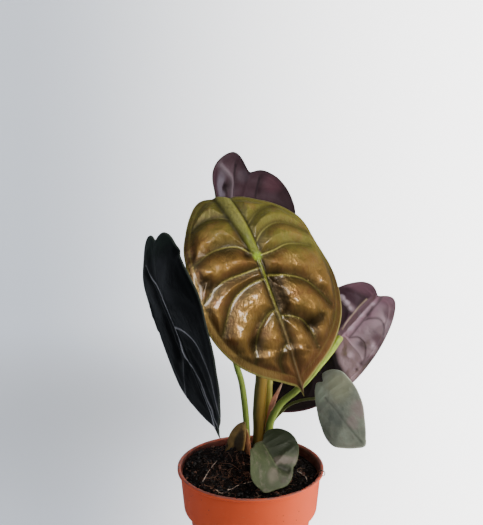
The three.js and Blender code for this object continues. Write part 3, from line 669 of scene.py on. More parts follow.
def relief(leaf, x, y):
    """The leaf's own folds and hollows, as two heights: for each smooth line or single point the given height
    times a bell curve of the distance over the width."""
    rises, dips = np.zeros(x.shape), np.zeros(x.shape)
    for points, width, height in leaf["relief"]:
        if len(points) > 1:
            away = distance_to_line(x, y, leaf_line(leaf, points, 13))
        else:
            away = np.hypot(x - points[0][0] * leaf["length"], y - points[0][1] * leaf["length"])
        rises += max(height, 0) * bell(away, width)
        dips += max(-height, 0) * bell(away, width)
    return rises, dips


def nearest(leaf, key, x, y):
    """Least distance to the leaf's own lines of that name, or a long way where it has none."""
    gaps = [distance_to_line(x, y, leaf_line(leaf, points)) for points in leaf[key]]
    return np.min(gaps, axis=0) if gaps else np.full(x.shape, 1e3)


def distance_to_line(x, y, line):
    """Least distance from each flat point to a line of short straight pieces."""
    best = np.full(x.shape, 1e9)
    for a, b in zip(line[:-1], line[1:]):
        run = b - a
        t = np.clip(((x - a[0]) * run[0] + (y - a[1]) * run[1]) / (run @ run), 0, 1)
        best = np.minimum(best, np.hypot(x - a[0] - t * run[0], y - a[1] - t * run[1]))
    return best


def add_mesh(name, points, quads, triangles, attributes=None):
    """An object at the origin from points in millimetres and arrays of quads and triangles."""
    mesh = bpy.data.meshes.new(name)
    mesh.vertices.add(len(points))
    mesh.vertices.foreach_set("co", (np.asarray(points) * MM).astype(np.float32).ravel())
    corners = np.concatenate([np.asarray(quads).ravel(), np.asarray(triangles).ravel()]).astype(np.int32)
    first = np.concatenate([4 * np.arange(len(quads)), 4 * len(quads) + 3 * np.arange(len(triangles))])
    mesh.loops.add(len(corners))
    mesh.loops.foreach_set("vertex_index", corners)
    mesh.polygons.add(len(first))
    mesh.polygons.foreach_set("loop_start", first.astype(np.int32))
    for key, values in (attributes or {}).items():
        layer = mesh.attributes.new(key, "FLOAT", "POINT")
        layer.data.foreach_set("value", np.asarray(values, np.float32).ravel())
    mesh.update(calc_edges=True)
    mesh.validate()
    mesh.shade_smooth()
    piece = bpy.data.objects.new(name, mesh)
    bpy.context.collection.objects.link(piece)
    return piece


def ring_faces(rings, sectors):
    """Quads between closed rings of points, ring by ring, with vertex numbers from 0."""
    i = np.arange(rings - 1)[:, None] * sectors
    j = np.arange(sectors)[None, :]
    k = (j + 1) % sectors
    return np.stack([i + j, i + sectors + j, i + sectors + k, i + k], -1).reshape(-1, 4)


def fan_faces(centre, ring_start, sectors):
    """Triangles from a centre point to a ring."""
    j = np.arange(sectors)
    return np.stack([np.full(sectors, centre), ring_start + j, ring_start + (j + 1) % sectors], -1)


def skin_faces(rings, sides):
    """Quads and end triangles of a closed skin whose points are its rings from foot to head, then the middle
    of its foot and the middle of its head."""
    quads = ring_faces(rings, sides)[:, ::-1]
    foot = fan_faces(rings * sides, 0, sides)[:, ::-1]
    head = fan_faces(rings * sides + 1, (rings - 1) * sides, sides)
    return quads, np.concatenate([foot, head])


def skin_points(grid, foot, head):
    """The points of a closed skin in that order."""
    return np.concatenate([grid.reshape(-1, 3), [foot, head]])


def skin_piece(name, grid, foot, head, attributes=None):
    """A closed skin over a grid of rings, with the attributes spread over the rings, 0 at the foot's middle
    and 1 at the head's."""
    quads, ends = skin_faces(*grid.shape[:2])
    spread = {key: np.concatenate([np.broadcast_to(value, grid.shape[:2]).ravel(), [0, 1]])
              for key, value in (attributes or {}).items()}
    return add_mesh(name, skin_points(grid, foot, head), quads, ends, spread)


def finish_piece(piece, slot, material, replaces=()):
    """Gives a piece its material, its body and the solids that it stands for. The slot is not used."""
    piece.data.materials.clear()
    piece.data.materials.append(material)
    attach(piece, "root")
    if replaces:
        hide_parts(*replaces)


def blade_grid(leaf):
    """A flat blade's points, the junction first: rings at shares of the way to the margin, whose points stand
    at even steps of arc from the back over the tip to the back. Returns x, y, share and the ring's count."""
    sectors, inner, outer = YOUNG_GRID if "outline" in leaf else LARGE_GRID
    shares = np.concatenate([np.linspace(0.012, DENSE, inner), np.linspace(DENSE, 1, outer)[1:]])
    half = []
    for q in (np.linspace(-1, 0, MARGIN_STEPS), np.linspace(0, 1, MARGIN_STEPS)):
        x, y = margin(leaf, q)
        arc = np.concatenate([[0], np.cumsum(np.hypot(np.diff(x), np.diff(y)))])
        half.append(np.interp(np.linspace(0, arc[-1], sectors // 2 + 1)[:-1], arc, q))
    x, y = margin(leaf, np.concatenate(half))
    rings = shares[:, None, None] * np.stack([x, y, np.ones(sectors)], -1)
    x, y, share = np.vstack([np.zeros(3), rings.reshape(-1, 3)]).T
    return x, y, share, sectors


def spine_shape(leaf, x, y):
    """The thick spine behind the front leaf's junction: its middle line turns off the midrib, it widens
    backwards, and a groove runs along each side of it and of the midrib. Returns the distance to its middle
    line, its half width, and bell curves of its ridge, its colour and the grooves."""
    back = x < 0
    away = np.abs(np.where(back, y + leaf["ridge_turn"] * x * (1 + x / 170), y))
    start, growth, way = SPINE_WIDTH
    width = start + growth * smooth(-x / way)
    ridge = np.where(back, smooth(-x / 20) * bell(away, 1.15 * width, 3), 0)
    spine = np.where(x < 2, bell(away, width, 4), 0)
    behind = smooth(-x / 6) * bell(away - 1.2 * width, 1.5)
    before = bell(away - 1.8, 0.9) * (1 - 0.6 * x / leaf["length"])
    return away, width, ridge, spine, np.where(back, behind, before)


def flat_blade(leaf):
    """A blade before it bends: its grid, the distances to its side veins and its band in millimetres, and
    from 0 to 1 the spine, the leaf's own lines and the puffs, 1 - exp(-(d/c)^2) of the distance d to the
    nearest vein."""
    x, y, share, sectors = blade_grid(leaf)
    flat = SimpleNamespace(x=x, y=y, share=share, sectors=sectors)
    flat.progress = np.clip(np.abs(x) / leaf["length"], 0, 1)
    flat.inside = share < leaf["band"]
    flat.side_gap = np.min([distance_to_line(x, y, line) for line in side_veins(leaf)], axis=0)
    flat.band_gap = np.abs(leaf["band"] - share) * np.hypot(x, y) / np.maximum(share, 1e-6)
    away, width, flat.ridge, flat.spine, flat.groove = spine_shape(leaf, x, y)
    on_ridge = (leaf["ridge"] > 0) & (x < 0)
    mid_gap = np.maximum(away - np.where(on_ridge, 0.9 * width * smooth(-x / 6), 0), 0)
    gap = np.minimum(np.minimum(flat.side_gap, mid_gap), np.where(share > 0, flat.band_gap, 0))
    flat.puff = 1 - bell(gap, leaf["cell"])
    flat.rises, flat.dips = relief(leaf, x, y)
    flat.thread = bell(nearest(leaf, "threads", x, y), 0.6)
    flat.crease = bell(nearest(leaf, "creases", x, y), 1.0)
    return flat


def blade_height(leaf, flat, quilting):
    """How far each point is raised along the normal: uneven puffs, a margin that turns down and waves, fine
    folds on the puffs, the ridge and its grooves, the midrib, and the leaf's own rises, dips and lines. The
    lumps of the puffs, the folds and the waves measure 0.16, 0.05 and 0.28 of the blade's length."""
    length = leaf["length"]
    points = np.stack([flat.x, flat.y, 0 * flat.x], -1)
    edge = np.clip((flat.share - leaf["band"]) / (1 - leaf["band"]), 0, 1)
    lumps = layered_noise(points, 0.16 * length, 5, 3)
    folds = np.abs(layered_noise(points, 0.05 * length, 12, 3)) * flat.puff * (1 - edge)
    wave = leaf["wave"] * flat.share ** 3 * lattice_noise(points, 0.28 * length, 41)
    midrib = np.where(flat.x > 0, 0.4 * bell(flat.y, 1.1), 0) * length / 110
    groove = 0.4 * flat.groove * (leaf["ridge"] > 0)
    return (quilting * leaf["quilt"] * flat.puff * np.where(flat.inside, 1, 0.45) * (1 + 0.4 * lumps)
            - leaf["recurve"] * edge ** 2 + leaf["ridge"] * flat.ridge - leaf["wrinkle"] * folds
            + flat.rises - flat.dips + wave - groove + 0.2 * flat.thread - 0.2 * flat.crease + midrib)


def rib_depth(leaf, flat):
    """How far the midrib, the side veins and the band stand out beneath: bell curves with widths of 1.7, 0.9
    and 0.8 mm, all lower towards their ends."""
    middle = bell(flat.y, 1.7 - flat.progress) * (1 - 0.7 * flat.progress) * (flat.share < 0.97)
    sides = bell(flat.side_gap, 0.9) * (1 - 0.6 * flat.share) * flat.inside
    return leaf["ribs"][0] * middle + leaf["ribs"][1] * np.maximum(sides, 0.4 * bell(flat.band_gap, 0.8))


def blade_fields(leaf, flat):
    """The values from 0 to 1 that the materials read, with along and across over the length. The veins, their
    glow, the midrib and the band are bell curves with widths in millimetres."""
    deep = 1.5  # rises and dips of this many millimetres count in full
    return {
        "share": flat.share, "along": flat.x / leaf["length"], "across": flat.y / leaf["length"],
        "vein": bell(flat.side_gap, 0.75) * flat.inside * (1.05 - flat.share),
        # glow: where the materials paint shade in the valleys beside the veins.
        "glow": bell(flat.side_gap, 2.2) * flat.inside,
        "rib": bell(flat.y, 1.1 - 0.6 * flat.progress),
        "band": bell(flat.band_gap, 0.8),
        "hub": bell(np.hypot(flat.x, flat.y), 0.036 * leaf["length"]),
        "puff": flat.puff, "spine": flat.spine, "groove": flat.groove,
        "thread": flat.thread, "crease": flat.crease,
        # From rise and dip the materials paint shade into hollows and highlights onto bumps and folds.
        "rise": np.minimum(flat.rises, deep) / deep, "dip": np.minimum(flat.dips, deep) / deep,
    }


def blade_normals(leaf, x, y):
    """Unit normals of the bent blade on its upper side, by the cross product of small central steps."""
    step = 0.05
    along = embed(leaf, x + step, y) - embed(leaf, x - step, y)
    across = embed(leaf, x, y + step) - embed(leaf, x, y - step)
    normal = np.cross(across, along)
    return normal / np.linalg.norm(normal, axis=-1, keepdims=True)


def blade_faces(count, sectors):
    """Quads and triangles of a closed blade of that many upper points and then as many lower ones: the rings
    of both sides with a fan round the junction, and the edge between them."""
    quads = 1 + ring_faces((count - 1) // sectors, sectors)
    fan = fan_faces(0, 1, sectors)
    rim = count - sectors + np.arange(sectors)
    after = np.roll(rim, -1)
    edge = np.stack([after, after + count, rim + count, rim], -1)
    return (np.concatenate([quads[:, ::-1], quads + count, edge]),
            np.concatenate([fan[:, ::-1], fan + count]))


def blade_piece(name, leaf, settings):
    """A closed blade: the bent grid raised along its normal by its height, half the thickness above and half
    below, less towards a round margin, with ribs beneath."""
    flat = flat_blade(leaf)
    middle = embed(leaf, flat.x, flat.y)
    normal = blade_normals(leaf, flat.x, flat.y)
    height = blade_height(leaf, flat, settings.quilting)
    near_rim = np.clip((flat.share - ROUND_EDGE) / (1 - ROUND_EDGE), 0, 1)
    half = settings.thickness / 2 * np.sqrt(np.clip(1 - near_rim ** 2, 0.03, 1))
    upper = middle + normal * (height + half)[:, None]
    lower = middle + normal * (height - half - rib_depth(leaf, flat))[:, None]
    attributes = {key: np.tile(values, 2) for key, values in blade_fields(leaf, flat).items()}
    attributes["upper"] = np.repeat([1, 0], len(upper))
    return add_mesh(name, np.concatenate([upper, lower]), *blade_faces(len(upper), flat.sectors), attributes)


def route(points, t):
    """A smooth path through points, parameter t from 0 to 1: cubic pieces whose knots are spaced by the
    square root of the distance, so it doesn't overshoot."""
    a, b, c, d, f = neighbours(points, t)
    d0, d1, d2 = (np.sqrt(np.linalg.norm(v - u, axis=1))[:, None] for u, v in ((a, b), (b, c), (c, d)))
    m1 = ((b - a) / d0 - (c - a) / (d0 + d1) + (c - b) / d1) * d1
    m2 = ((c - b) / d1 - (d - b) / (d1 + d2) + (d - c) / d2) * d1
    return b + m1 * f + (3 * (c - b) - 2 * m1 - m2) * f ** 2 + (2 * (b - c) + m1 + m2) * f ** 3


def tube_grid(path, half_wide, half_thick, sides, turn=0.0):
    """Rings round a path: an ellipse in the plane across the path's direction, its wide side turned
    from +X. Returns the rings and the angle of each side."""
    tangent = np.gradient(path, axis=0)
    tangent /= np.linalg.norm(tangent, axis=1, keepdims=True)
    wide = np.array([np.cos(np.radians(turn)), np.sin(np.radians(turn)), 0])
    across = wide - (tangent @ wide)[:, None] * tangent
    across /= np.linalg.norm(across, axis=1, keepdims=True)
    through = np.cross(tangent, across)
    angle = round_angles(sides)
    ring_a = across[:, None] * np.cos(angle)[:, None] * np.asarray(half_wide)[:, None, None]
    ring_b = through[:, None] * np.sin(angle)[:, None] * np.asarray(half_thick)[:, None, None]
    return path[:, None] + ring_a + ring_b, angle


def petiole_piece(name, leaf):
    """A stem from the soil to the junction, with shallow lengthwise furrows and a round end at the blade."""
    normal = blade_frame(leaf)[1]
    end = np.array(leaf["junction"], float) - 0.3 * normal
    # The rings stand closer together on the last part of the way, which is rounded off.
    t = np.concatenate([np.linspace(0, 0.97, 130), np.linspace(0.97, 1, 24)[1:]])
    path = route(list(leaf["stem"]) + [end], t)
    radius = catmull(np.array(leaf["stem_radius"])[:, None], t)[:, 0]
    from_end = np.linalg.norm(path - path[-1], axis=1) / radius[-1]
    radius = radius * np.sqrt(np.clip(1 - np.clip(1 - from_end / 0.9, 0, 1) ** 2, 0.01, 1))
    grid, angle = tube_grid(path, radius, radius, 40)
    furrow = 1 + 0.014 * np.sin(9 * angle) + 0.01 * np.sin(17 * angle + 2)
    wander = 1 + 0.03 * lattice_noise(grid, 7, 3)
    grid = path[:, None] + (grid - path[:, None]) * (furrow[None] * wander)[..., None]
    return skin_piece(name, grid, path[0], path[-1], {"run": t[:, None], "round": np.cos(angle)})


def sheath_piece(name, sheath):
    """A flattened sheath, cupped across its width, with crinkles that grow towards its dry point."""
    t = np.linspace(0, 1, 90)
    path = route(sheath["path"], t)
    wide, thick = catmull(sheath["profile"], t).T
    grid, angle = tube_grid(path, wide, thick, 48, sheath["turn"])
    turn = np.radians(sheath["turn"])
    back = np.array([-np.sin(turn), np.cos(turn), 0])
    cup = 0.22 * wide[:, None] * np.cos(angle)[None] ** 2
    crinkle = 0.25 * smooth(t)[:, None] * layered_noise(grid, 3.5, 21, 3)
    grid = grid + back * (cup - 0.5 * cup.max() + crinkle)[..., None]
    middle = grid.mean(axis=1)
    return skin_piece(name, grid, middle[0], middle[-1], {"run": t[:, None], "round": np.cos(angle)})


def rounded_profile(corners, steps=5):
    """A profile of (radius, height, rounding) corners: each corner is a quadratic curve that starts and
    ends at its rounding from the corner."""
    corners = np.asarray(corners, float)
    points = []
    for k, (r, z, cut) in enumerate(corners):
        here = np.array([r, z])
        if cut == 0:
            points.append(here[None])
            continue
        before, after = corners[k - 1, :2], corners[(k + 1) % len(corners), :2]
        start = here + (before - here) * cut / np.linalg.norm(before - here)
        stop = here + (after - here) * cut / np.linalg.norm(after - here)
        t = np.linspace(0, 1, steps)[:, None]
        points.append((1 - t) ** 2 * start + 2 * t * (1 - t) * here + t ** 2 * stop)
    return np.concatenate(points)


def pot_profile(settings):
    """The pot's section from the middle of its base, up its outside, over the rolled lip and down its inside:
    radius, height and rounding of each corner."""
    rim, top, wall = settings.rim_radius, settings.height, settings.wall
    floor = 2
    return rounded_profile([
        (0, 0, 0), (rim - 17, 0, 1.2), (rim - 10.5, top - 42, 1.5), (rim - 5.2, top - 36, 1.6),
        (rim - 2.3, top - 3.4, 0.8), (rim, top - 2.9, 0.9), (rim, top, 1.0), (rim - 2.0, top, 0.7),
        (rim - 2.3 - wall, top - 2.2, 0.8), (rim - 5.1 - wall, top - 34.5, 1.2),
        (rim - 10.6 - wall, top - 41, 1.2), (rim - 17.1 - wall, floor, 1.2), (0, floor, 0)])


def drain_cutter(count=8, ring=27, radius=3.5, reach=4, sides=28):
    """Upright drums that stand in a ring, to cut the drainage holes."""
    drum = turned((radius, radius), (-reach, reach), sides)
    drum = skin_points(drum, (0, 0, -reach), (0, 0, reach))
    places = turned([ring], [0], count)[0]
    starts = len(drum) * np.arange(count)[:, None, None]
    quads, ends = skin_faces(2, sides)
    return add_mesh("drains", (places[:, None] + drum).reshape(-1, 3), (quads + starts).reshape(-1, 4),
                    (ends + starts).reshape(-1, 3))


def pot_piece(settings):
    """The pot: its section turned round the axis, with the drainage holes cut out."""
    profile = pot_profile(settings)
    foot, head = profile[0, 1], profile[-1, 1]
    pot = skin_piece("nursery_pot", turned(*profile[1:-1].T, 192), (0, 0, foot), (0, 0, head))
    cutter = drain_cutter()
    cut = pot.modifiers.new("cut", "BOOLEAN")
    cut.operation = "DIFFERENCE"
    cut.object = cutter
    cut.solver = "EXACT"
    bpy.context.view_layer.update()
    cut_pot = pot.evaluated_get(bpy.context.evaluated_depsgraph_get())
    solid = bpy.data.meshes.new_from_object(cut_pot)
    pot.modifiers.clear()
    pot.data = solid
    bpy.data.objects.remove(cutter)
    return pot


def soil_height(x, y, settings):
    """The soil's top: a bell-shaped mound over the stems' crown and a small heap before the old scale, low
    lumps and crumbly layered noise, all faded out at the pot's wall, and a bell-shaped bank against it."""
    inside = smooth((SOIL_RADIUS - np.hypot(x, y)) / LEVEL_EDGE)
    mound, heap, bank = (getattr(settings, key) * bell(np.hypot(x - centre_x, y - centre_y), width)
                         for key, (centre_x, centre_y, width) in SOIL_HEAPS.items())
    lumps = 0.6 * np.sin(0.31 * x + 1) * np.sin(0.27 * y) + 0.4 * np.sin(0.73 * x - 0.52 * y)
    points = np.stack([x, y, 0 * x], -1)
    crumb = 2.4 * np.abs(layered_noise(points, 6.5, 11, 4)) + 0.7 * layered_noise(points, 1.8, 31, 2)
    return settings.edge + bank + inside * (mound + heap + lumps) + (0.3 + 0.7 * inside) * (crumb - 0.8)


def soil_piece(settings):
    """The potting mix: its side turned round the axis, and its top in rings from the wall inwards."""
    sectors = 320
    x, y, _ = np.moveaxis(turned(np.linspace(SOIL_RADIUS, 0.5, 110), np.zeros(110), sectors), -1, 0)
    top = np.stack([x, y, soil_height(x, y, settings)], -1)
    grid = np.concatenate([turned(*SOIL_SIDE.T, sectors), top])
    middle = soil_height(np.zeros(1), np.zeros(1), settings)[0]
    return skin_piece("potting_mix", grid, (0, 0, SOIL_SIDE[0, 1]), (0, 0, middle))


def crumb_ball():
    """Corners and triangles of a twenty-sided ball."""
    ball = bmesh.new()
    bmesh.ops.create_icosphere(ball, subdivisions=1, radius=1)
    mesh = bpy.data.meshes.new("ball")
    ball.to_mesh(mesh)
    ball.free()
    corners = np.zeros(3 * len(mesh.vertices), np.float32)
    mesh.vertices.foreach_get("co", corners)
    triangles = np.zeros(len(mesh.loops), np.int32)
    mesh.loops.foreach_get("vertex_index", triangles)
    bpy.data.meshes.remove(mesh)
    return corners.reshape(-1, 3).astype(float), triangles.reshape(-1, 3)


def loose_crumbs(chance, settings, pot):
    """Small round lumps with noisy radii, turned and stretched at random, the first of them on the pot's rim:
    points, triangles and tones."""
    ball, faces = crumb_ball()
    count = settings.crumbs
    on_rim = np.arange(count) < RIM_CRUMBS
    reach = np.where(on_rim, pot.rim_radius - 1.4, CRUMB_REACH * np.sqrt(chance.random(count)))
    around = np.where(on_rim, -0.2 - 2.4 * chance.random(count), chance.random(count) * 2 * np.pi)
    x, y = reach * np.cos(around), reach * np.sin(around)
    radius = 0.5 + np.where(on_rim, 0.3, 1.9) * chance.random(count) ** 3
    stretch = radius[:, None] * (0.6 + 0.8 * chance.random((count, 3))) * (1, 1, 0.7)
    spin = chance.random(count) * 2 * np.pi
    lump = ball[None] * (1 + 0.25 * chance.standard_normal((count, len(ball), 1))) * stretch[:, None]
    cos, sin = np.cos(spin)[:, None], np.sin(spin)[:, None]
    lump = np.stack([lump[..., 0] * cos - lump[..., 1] * sin, lump[..., 0] * sin + lump[..., 1] * cos,
                     lump[..., 2]], -1)
    rest = np.where(on_rim, pot.height, soil_height(x, y, settings)) + 0.15 * radius
    lump = lump + np.stack([x, y, rest], -1)[:, None]
    tone = 0.7 * chance.random(count) ** 3.2
    triangles = faces + len(ball) * np.arange(count)[:, None, None]
    return lump.reshape(-1, 3), triangles.reshape(-1, 3), np.repeat(tone, len(ball))


def coir_runs(chance, count, t):
    """Curved runs with a heading that drifts, every second one in the soil's front left part and the others
    all over it: path, radius, tone and how far its middle arches up."""
    for index in range(count):
        heading = chance.random() * 2 * np.pi
        way = heading + chance.normal(0, 1.3) * t
        length = 3 + 13 * chance.random() ** 2
        if index % 2:
            centre = np.array([-14, -6]) + chance.normal(0, 11, 2)
        else:
            around = heading * 3.1
            centre = 46 * np.sqrt(chance.random()) * np.array([np.cos(around), np.sin(around)])
        path = np.cumsum(np.stack([np.cos(way), np.sin(way)], -1), axis=0) * length / len(t)
        path = path - path.mean(axis=0) + centre
        path *= np.minimum(1, FIBRE_REACH / np.maximum(np.hypot(*path.T), 1e-6))[:, None]
        tone = 0.58 + 0.25 * chance.random() if index % 2 else 0.55 + 0.35 * chance.random()
        yield path, 0.12 + 0.14 * chance.random(), tone, 0.9 * chance.random()


def soil_bits(settings, pot):
    """Loose crumbs, and thin tubes along curved runs that lie on the smoothed surface."""
    chance = np.random.default_rng(8)
    crumbs, crumb_faces, crumb_tones = loose_crumbs(chance, settings, pot)
    rings, sides = 14, 5
    t = np.linspace(0, 1, rings)
    runs = list(coir_runs(chance, settings.fibres, t))
    runs += [(catmull(points, t), thick, tone, 0.6) for points, thick, tone in ROOTS]
    points, tones, quads, triangles = [crumbs], [crumb_tones], [], [crumb_faces]
    tube_quads, tube_ends = skin_faces(rings, sides)
    for path, thick, tone, arch in runs:
        if path.shape[1] == 2:
            lift = soil_height(*path.T, settings)
            lift = np.convolve(np.pad(lift, 2, mode="edge"), np.ones(5) / 5, mode="valid")
            path = np.column_stack([path, lift + 0.3 + arch * np.sin(np.pi * t)])
        thick = thick * (1 - 0.5 * t)
        run_x, run_y = (path[-1] - path[0])[:2]
        grid, _ = tube_grid(path, thick, thick, sides, np.degrees(np.arctan2(run_y, run_x)) + 90)
        start = len(crumbs) + len(quads) * (rings * sides + 2)
        points.append(skin_points(grid, path[0], path[-1]))
        tones.append(np.full(rings * sides + 2, tone))
        quads.append(tube_quads + start)
        triangles.append(tube_ends + start)
    return add_mesh("soil_bits", np.concatenate(points), np.concatenate(quads), np.concatenate(triangles),
                    {"tone": np.concatenate(tones)})


def gold_material(settings):
    """Copper gold, greener towards the back and the right and redder at the tip, with an olive-lime ridge,
    fine olive veins and a pale rim. Painted shade darkens the hollows, the grooves beside the ridge and the
    dips beside the veins, where the green is also darker, and the puffs' tops are painted lighter. Dull
    purple below."""
    make = Finish("blade_gold", Specular_IOR_Level=0.4, Coat_Roughness=0.14, IOR=1.45)
    gold, copper, olive, lime = settings.gold, settings.copper, settings.olive, settings.lime
    along, across, share, upper = make.attributes("along across share upper")
    puff, vein, glow, rib = make.attributes("puff vein glow rib")
    groove, dip, spine, hub = make.attributes("groove dip spine hub")
    patch = make.noise(38)
    blotch = make.noise(85)
    fine = make.noise(420, 4)
    crinkle = make.noise(230, distortion=1.2)
    hatch = make.noise(520, 2, distortion=0.4, stretch=(1.0, 1.0, 0.3))
    green_zone = make.between(along * -1 - across * 0.55 + (patch - 0.5) * 0.4, -0.1, 0.3)
    near_tip = make.between(along + (patch - 0.5) * 0.2, 0.6, 0.9)
    outer = make.between(share, 0.90, 0.94) * make.between(across, 0.04, 0.2)
    outer = outer * make.between(along, -0.15, 0.1)
    dull = make.between(((along + 0.14) ** 2 + (across - 0.22) ** 2) ** 0.5, 0.3, 0.12)
    midrib = make.tones(along, 0.03, 0.7, shade(lime, 0.55), (0.20, 0.135, 0.06, 1))
    ridge = make.layers(
        make.tones(make.noise(70), 0.3, 0.7, shade(lime, 0.38), shade(lime, 0.8)),
        (make.between(along, -0.1, -0.3) * 0.75, (0.25, 0.225, 0.060, 1)),
        (make.between(crinkle, 0.45, 0.7) * 0.5, (0.10, 0.085, 0.015, 1)))
    above = make.layers(
        # Painted shade: darker in the valleys between the puffs, lighter on their tops.
        make.tones(puff + (patch - 0.5) * 0.7, 0.15, 1.0, shade(gold, 0.45), shade(gold, 1.12)),
        (make.between(blotch, 0.5, 0.72) * 0.45, copper),
        (green_zone * (1 - make.between(blotch, 0.46, 0.62) * 0.5), olive),
        (make.between(blotch, 0.3, 0.5) * -0.35 + 0.35, shade(olive, 0.5)),
        (near_tip * 0.45, shade(copper, 1.5)),
        # Painted shade in the dips beside the veins, over a darker green there, and in the hollows.
        (glow * 0.75, shade(olive, 0.18)),
        (dip * 0.88, (0.015, 0.009, 0.002, 1)),
        (make.ribs(0.9, 0, 0.3), (0.32, 0.28, 0.06, 1)),
        # Painted shade in the grooves beside the ridge.
        (groove * 0.75, (0.022, 0.022, 0.005, 1)),
        (make.between(rib, 0.1, 0.8), midrib),
        (make.between(spine, 0.05, 0.95), ridge),
        (make.between(hub, 0.2, 0.95), (0.28, 0.42, 0.002, 1)),
        (outer * 0.7, (0.40, 0.25, 0.07, 1)),
        (make.between(share, 0.972, 0.992) * 0.85, (0.55, 0.50, 0.13, 1)))
    below = make.layers(
        make.tones(patch, 0.3, 0.7, (0.07, 0.022, 0.03, 1), (0.11, 0.04, 0.045, 1)),
        (make.ribs(), (0.25, 0.13, 0.10, 1)))
    coat = (0.6 - spine * 0.4 - green_zone * 0.25) * (1 - hub) * (1 - dull * 0.85)
    rough = 0.48 - upper * 0.12 + green_zone * 0.1 + dull * 0.16 + hub * 0.2
    texture = fine * 0.4 + crinkle * 0.9 + hatch * 2.2 - vein * 0.8 * upper
    return make.feed(
        Base_Color=make.mix(upper, below, above),
        Metallic=upper * (0.6 - green_zone * 0.3) * (1 - make.between(spine + hub, 0.2, 0.8)),
        Roughness=rough + (fine - 0.5) * 0.16,
        Coat_Weight=upper * coat * (1 - dip * 0.8) + 0.02,
        Normal=make.bump(texture, 0.3))


def dark_material(settings):
    """Black-green satin above, greener at the back, with pale thread lines, one of them a painted highlight
    along a fold's crest. Lighter spots and the raised folds have a painted sheen, black spots and the hollows
    painted shade, and the margin a painted greenish rim light. Purple below."""
    make = Finish("blade_dark", Specular_IOR_Level=0.22, Coat_Roughness=0.3, IOR=1.4)
    dark, purple = settings.dark, settings.purple
    upper, along, share, dip, rise, thread = make.attributes("upper along share dip rise thread")
    patch = make.noise(45)
    fine = make.noise(500, 4)
    # The lighter spots are a painted sheen, the black ones painted shade in the deep folds.
    light = shade(dark, 5)
    black = shade(dark, 0.12)
    spots = ((0, 0.22, 0.14, light, 0.8), (-0.13, -0.12, 0.15, light, 0.8), (0.2, -0.14, 0.12, light, 0.35),
             (0.72, -0.17, 0.09, light, 0.25), (0.03, -0.4, 0.2, black, 0.9), (0.3, 0.13, 0.15, black, 0.95),
             (0.5, 0.16, 0.16, black, 0.95), (0.42, -0.12, 0.11, black, 0.85), (0.72, 0.1, 0.12, black, 0.9))
    above = make.layers(
        make.tones(patch, 0.35, 0.75, shade(dark, 0.6), shade(dark, 1.4)),
        *make.spots(spots, (patch - 0.5) * 0.25),
        (make.between(along * -1 + (patch - 0.5) * 0.2, 0.2, 0.45) * 0.75, (0.010, 0.026, 0.014, 1)),
        # Painted shade in the hollows and a painted sheen on the raised folds.
        (dip * 0.8, shade(dark, 0.3)),
        (rise * 0.35, (0.022, 0.024, 0.028, 1)),
        (make.ribs(0.2, 0.1, 0), (0.05, 0.05, 0.055, 1)),
        (thread, (0.36, 0.36, 0.39, 1)),
        # A painted greenish rim light along the margin.
        (make.between(share, 0.965, 0.99) * 0.7, (0.085, 0.10, 0.075, 1)))
    below = make.layers(make.tones(patch, 0.3, 0.7, shade(purple, 0.6), purple),
                        (make.ribs(), shade(purple, 2.2)))
    return make.feed(
        Base_Color=make.mix(upper, below, above),
        Roughness=0.42 + (fine - 0.5) * 0.16,
        Coat_Weight=upper * 0.1 + 0.01,
        Normal=make.bump(fine * 0.6 + make.noise(1100, 2, 0.55) * 0.3, 0.12))


def purple_material(name, purple, zones, spots, ribs, rim_tint, gloss):
    """The undersides: satin maroon purple with painted shade in the hollows and along the creases, which
    partly follow dark veins, painted highlights on the bumps that face the viewer, and zones of other tints
    and round spots.
    Each zone is a smooth step from low to high of a sum of the place along and across the blade. The coat's
    gloss has one weight over the base and one over the last zone. The upper side is a dark coppery green."""
    make = Finish(name, Specular_IOR_Level=0.3, Coat_Roughness=0.22, IOR=1.45)
    upper, along, across, share = make.attributes("upper along across share")
    puff, rise, dip, crease, thread = make.attributes("puff rise dip crease thread")
    patch = make.noise(40, 4)
    fine = make.noise(480, 4)
    crinkle = make.noise(150, distortion=1.0)
    below = make.tones(patch, 0.3, 0.75, shade(purple, 0.75), shade(purple, 1.2))
    inside = upper * 0
    for along_part, across_part, low, high, colour, amount in zones:
        step = along * along_part + across * across_part + (patch - 0.5) * 0.08
        inside = make.between(step, low, high)
        below = make.mix(inside * amount, below, colour)
    below = make.layers(
        below,
        *make.spots(spots, (patch - 0.5) * 0.06),
        (puff * (1 - inside) * 0.2, mixed(purple, (0.30, 0.22, 0.26), 0.35)),
        # Painted shade in the hollows and painted highlights on the bumps that face the viewer.
        (rise * 0.7, shade(purple, 0.3)),
        (dip * 0.45, mixed(purple, (0.55, 0.47, 0.53), 0.25)),
        # Painted shade along the creases, partly over dark veins.
        (crease * 0.75, shade(purple, 0.22)),
        (thread, (0.95, 0.72, 0.52, 1)),
        (make.ribs(*ribs), mixed(purple, (0.55, 0.36, 0.32), 0.45)),
        (make.between(share, 0.97, 0.992) * 0.7, rim_tint))
    above = make.layers(
        make.tones(patch, 0.3, 0.7, (0.035, 0.04, 0.016, 1), (0.085, 0.06, 0.022, 1)),
        (make.ribs(), (0.08, 0.11, 0.04, 1)))
    return make.feed(
        Base_Color=make.mix(upper, below, above),
        Metallic=upper * 0.2,
        Roughness=0.44 - upper * 0.12 + inside * 0.4 + (fine - 0.5) * 0.16,
        Coat_Weight=upper * 0.2 + gloss[0] + inside * (gloss[1] - gloss[0]),
        Normal=make.bump(fine * 0.5 + crinkle * 0.9, 0.16))


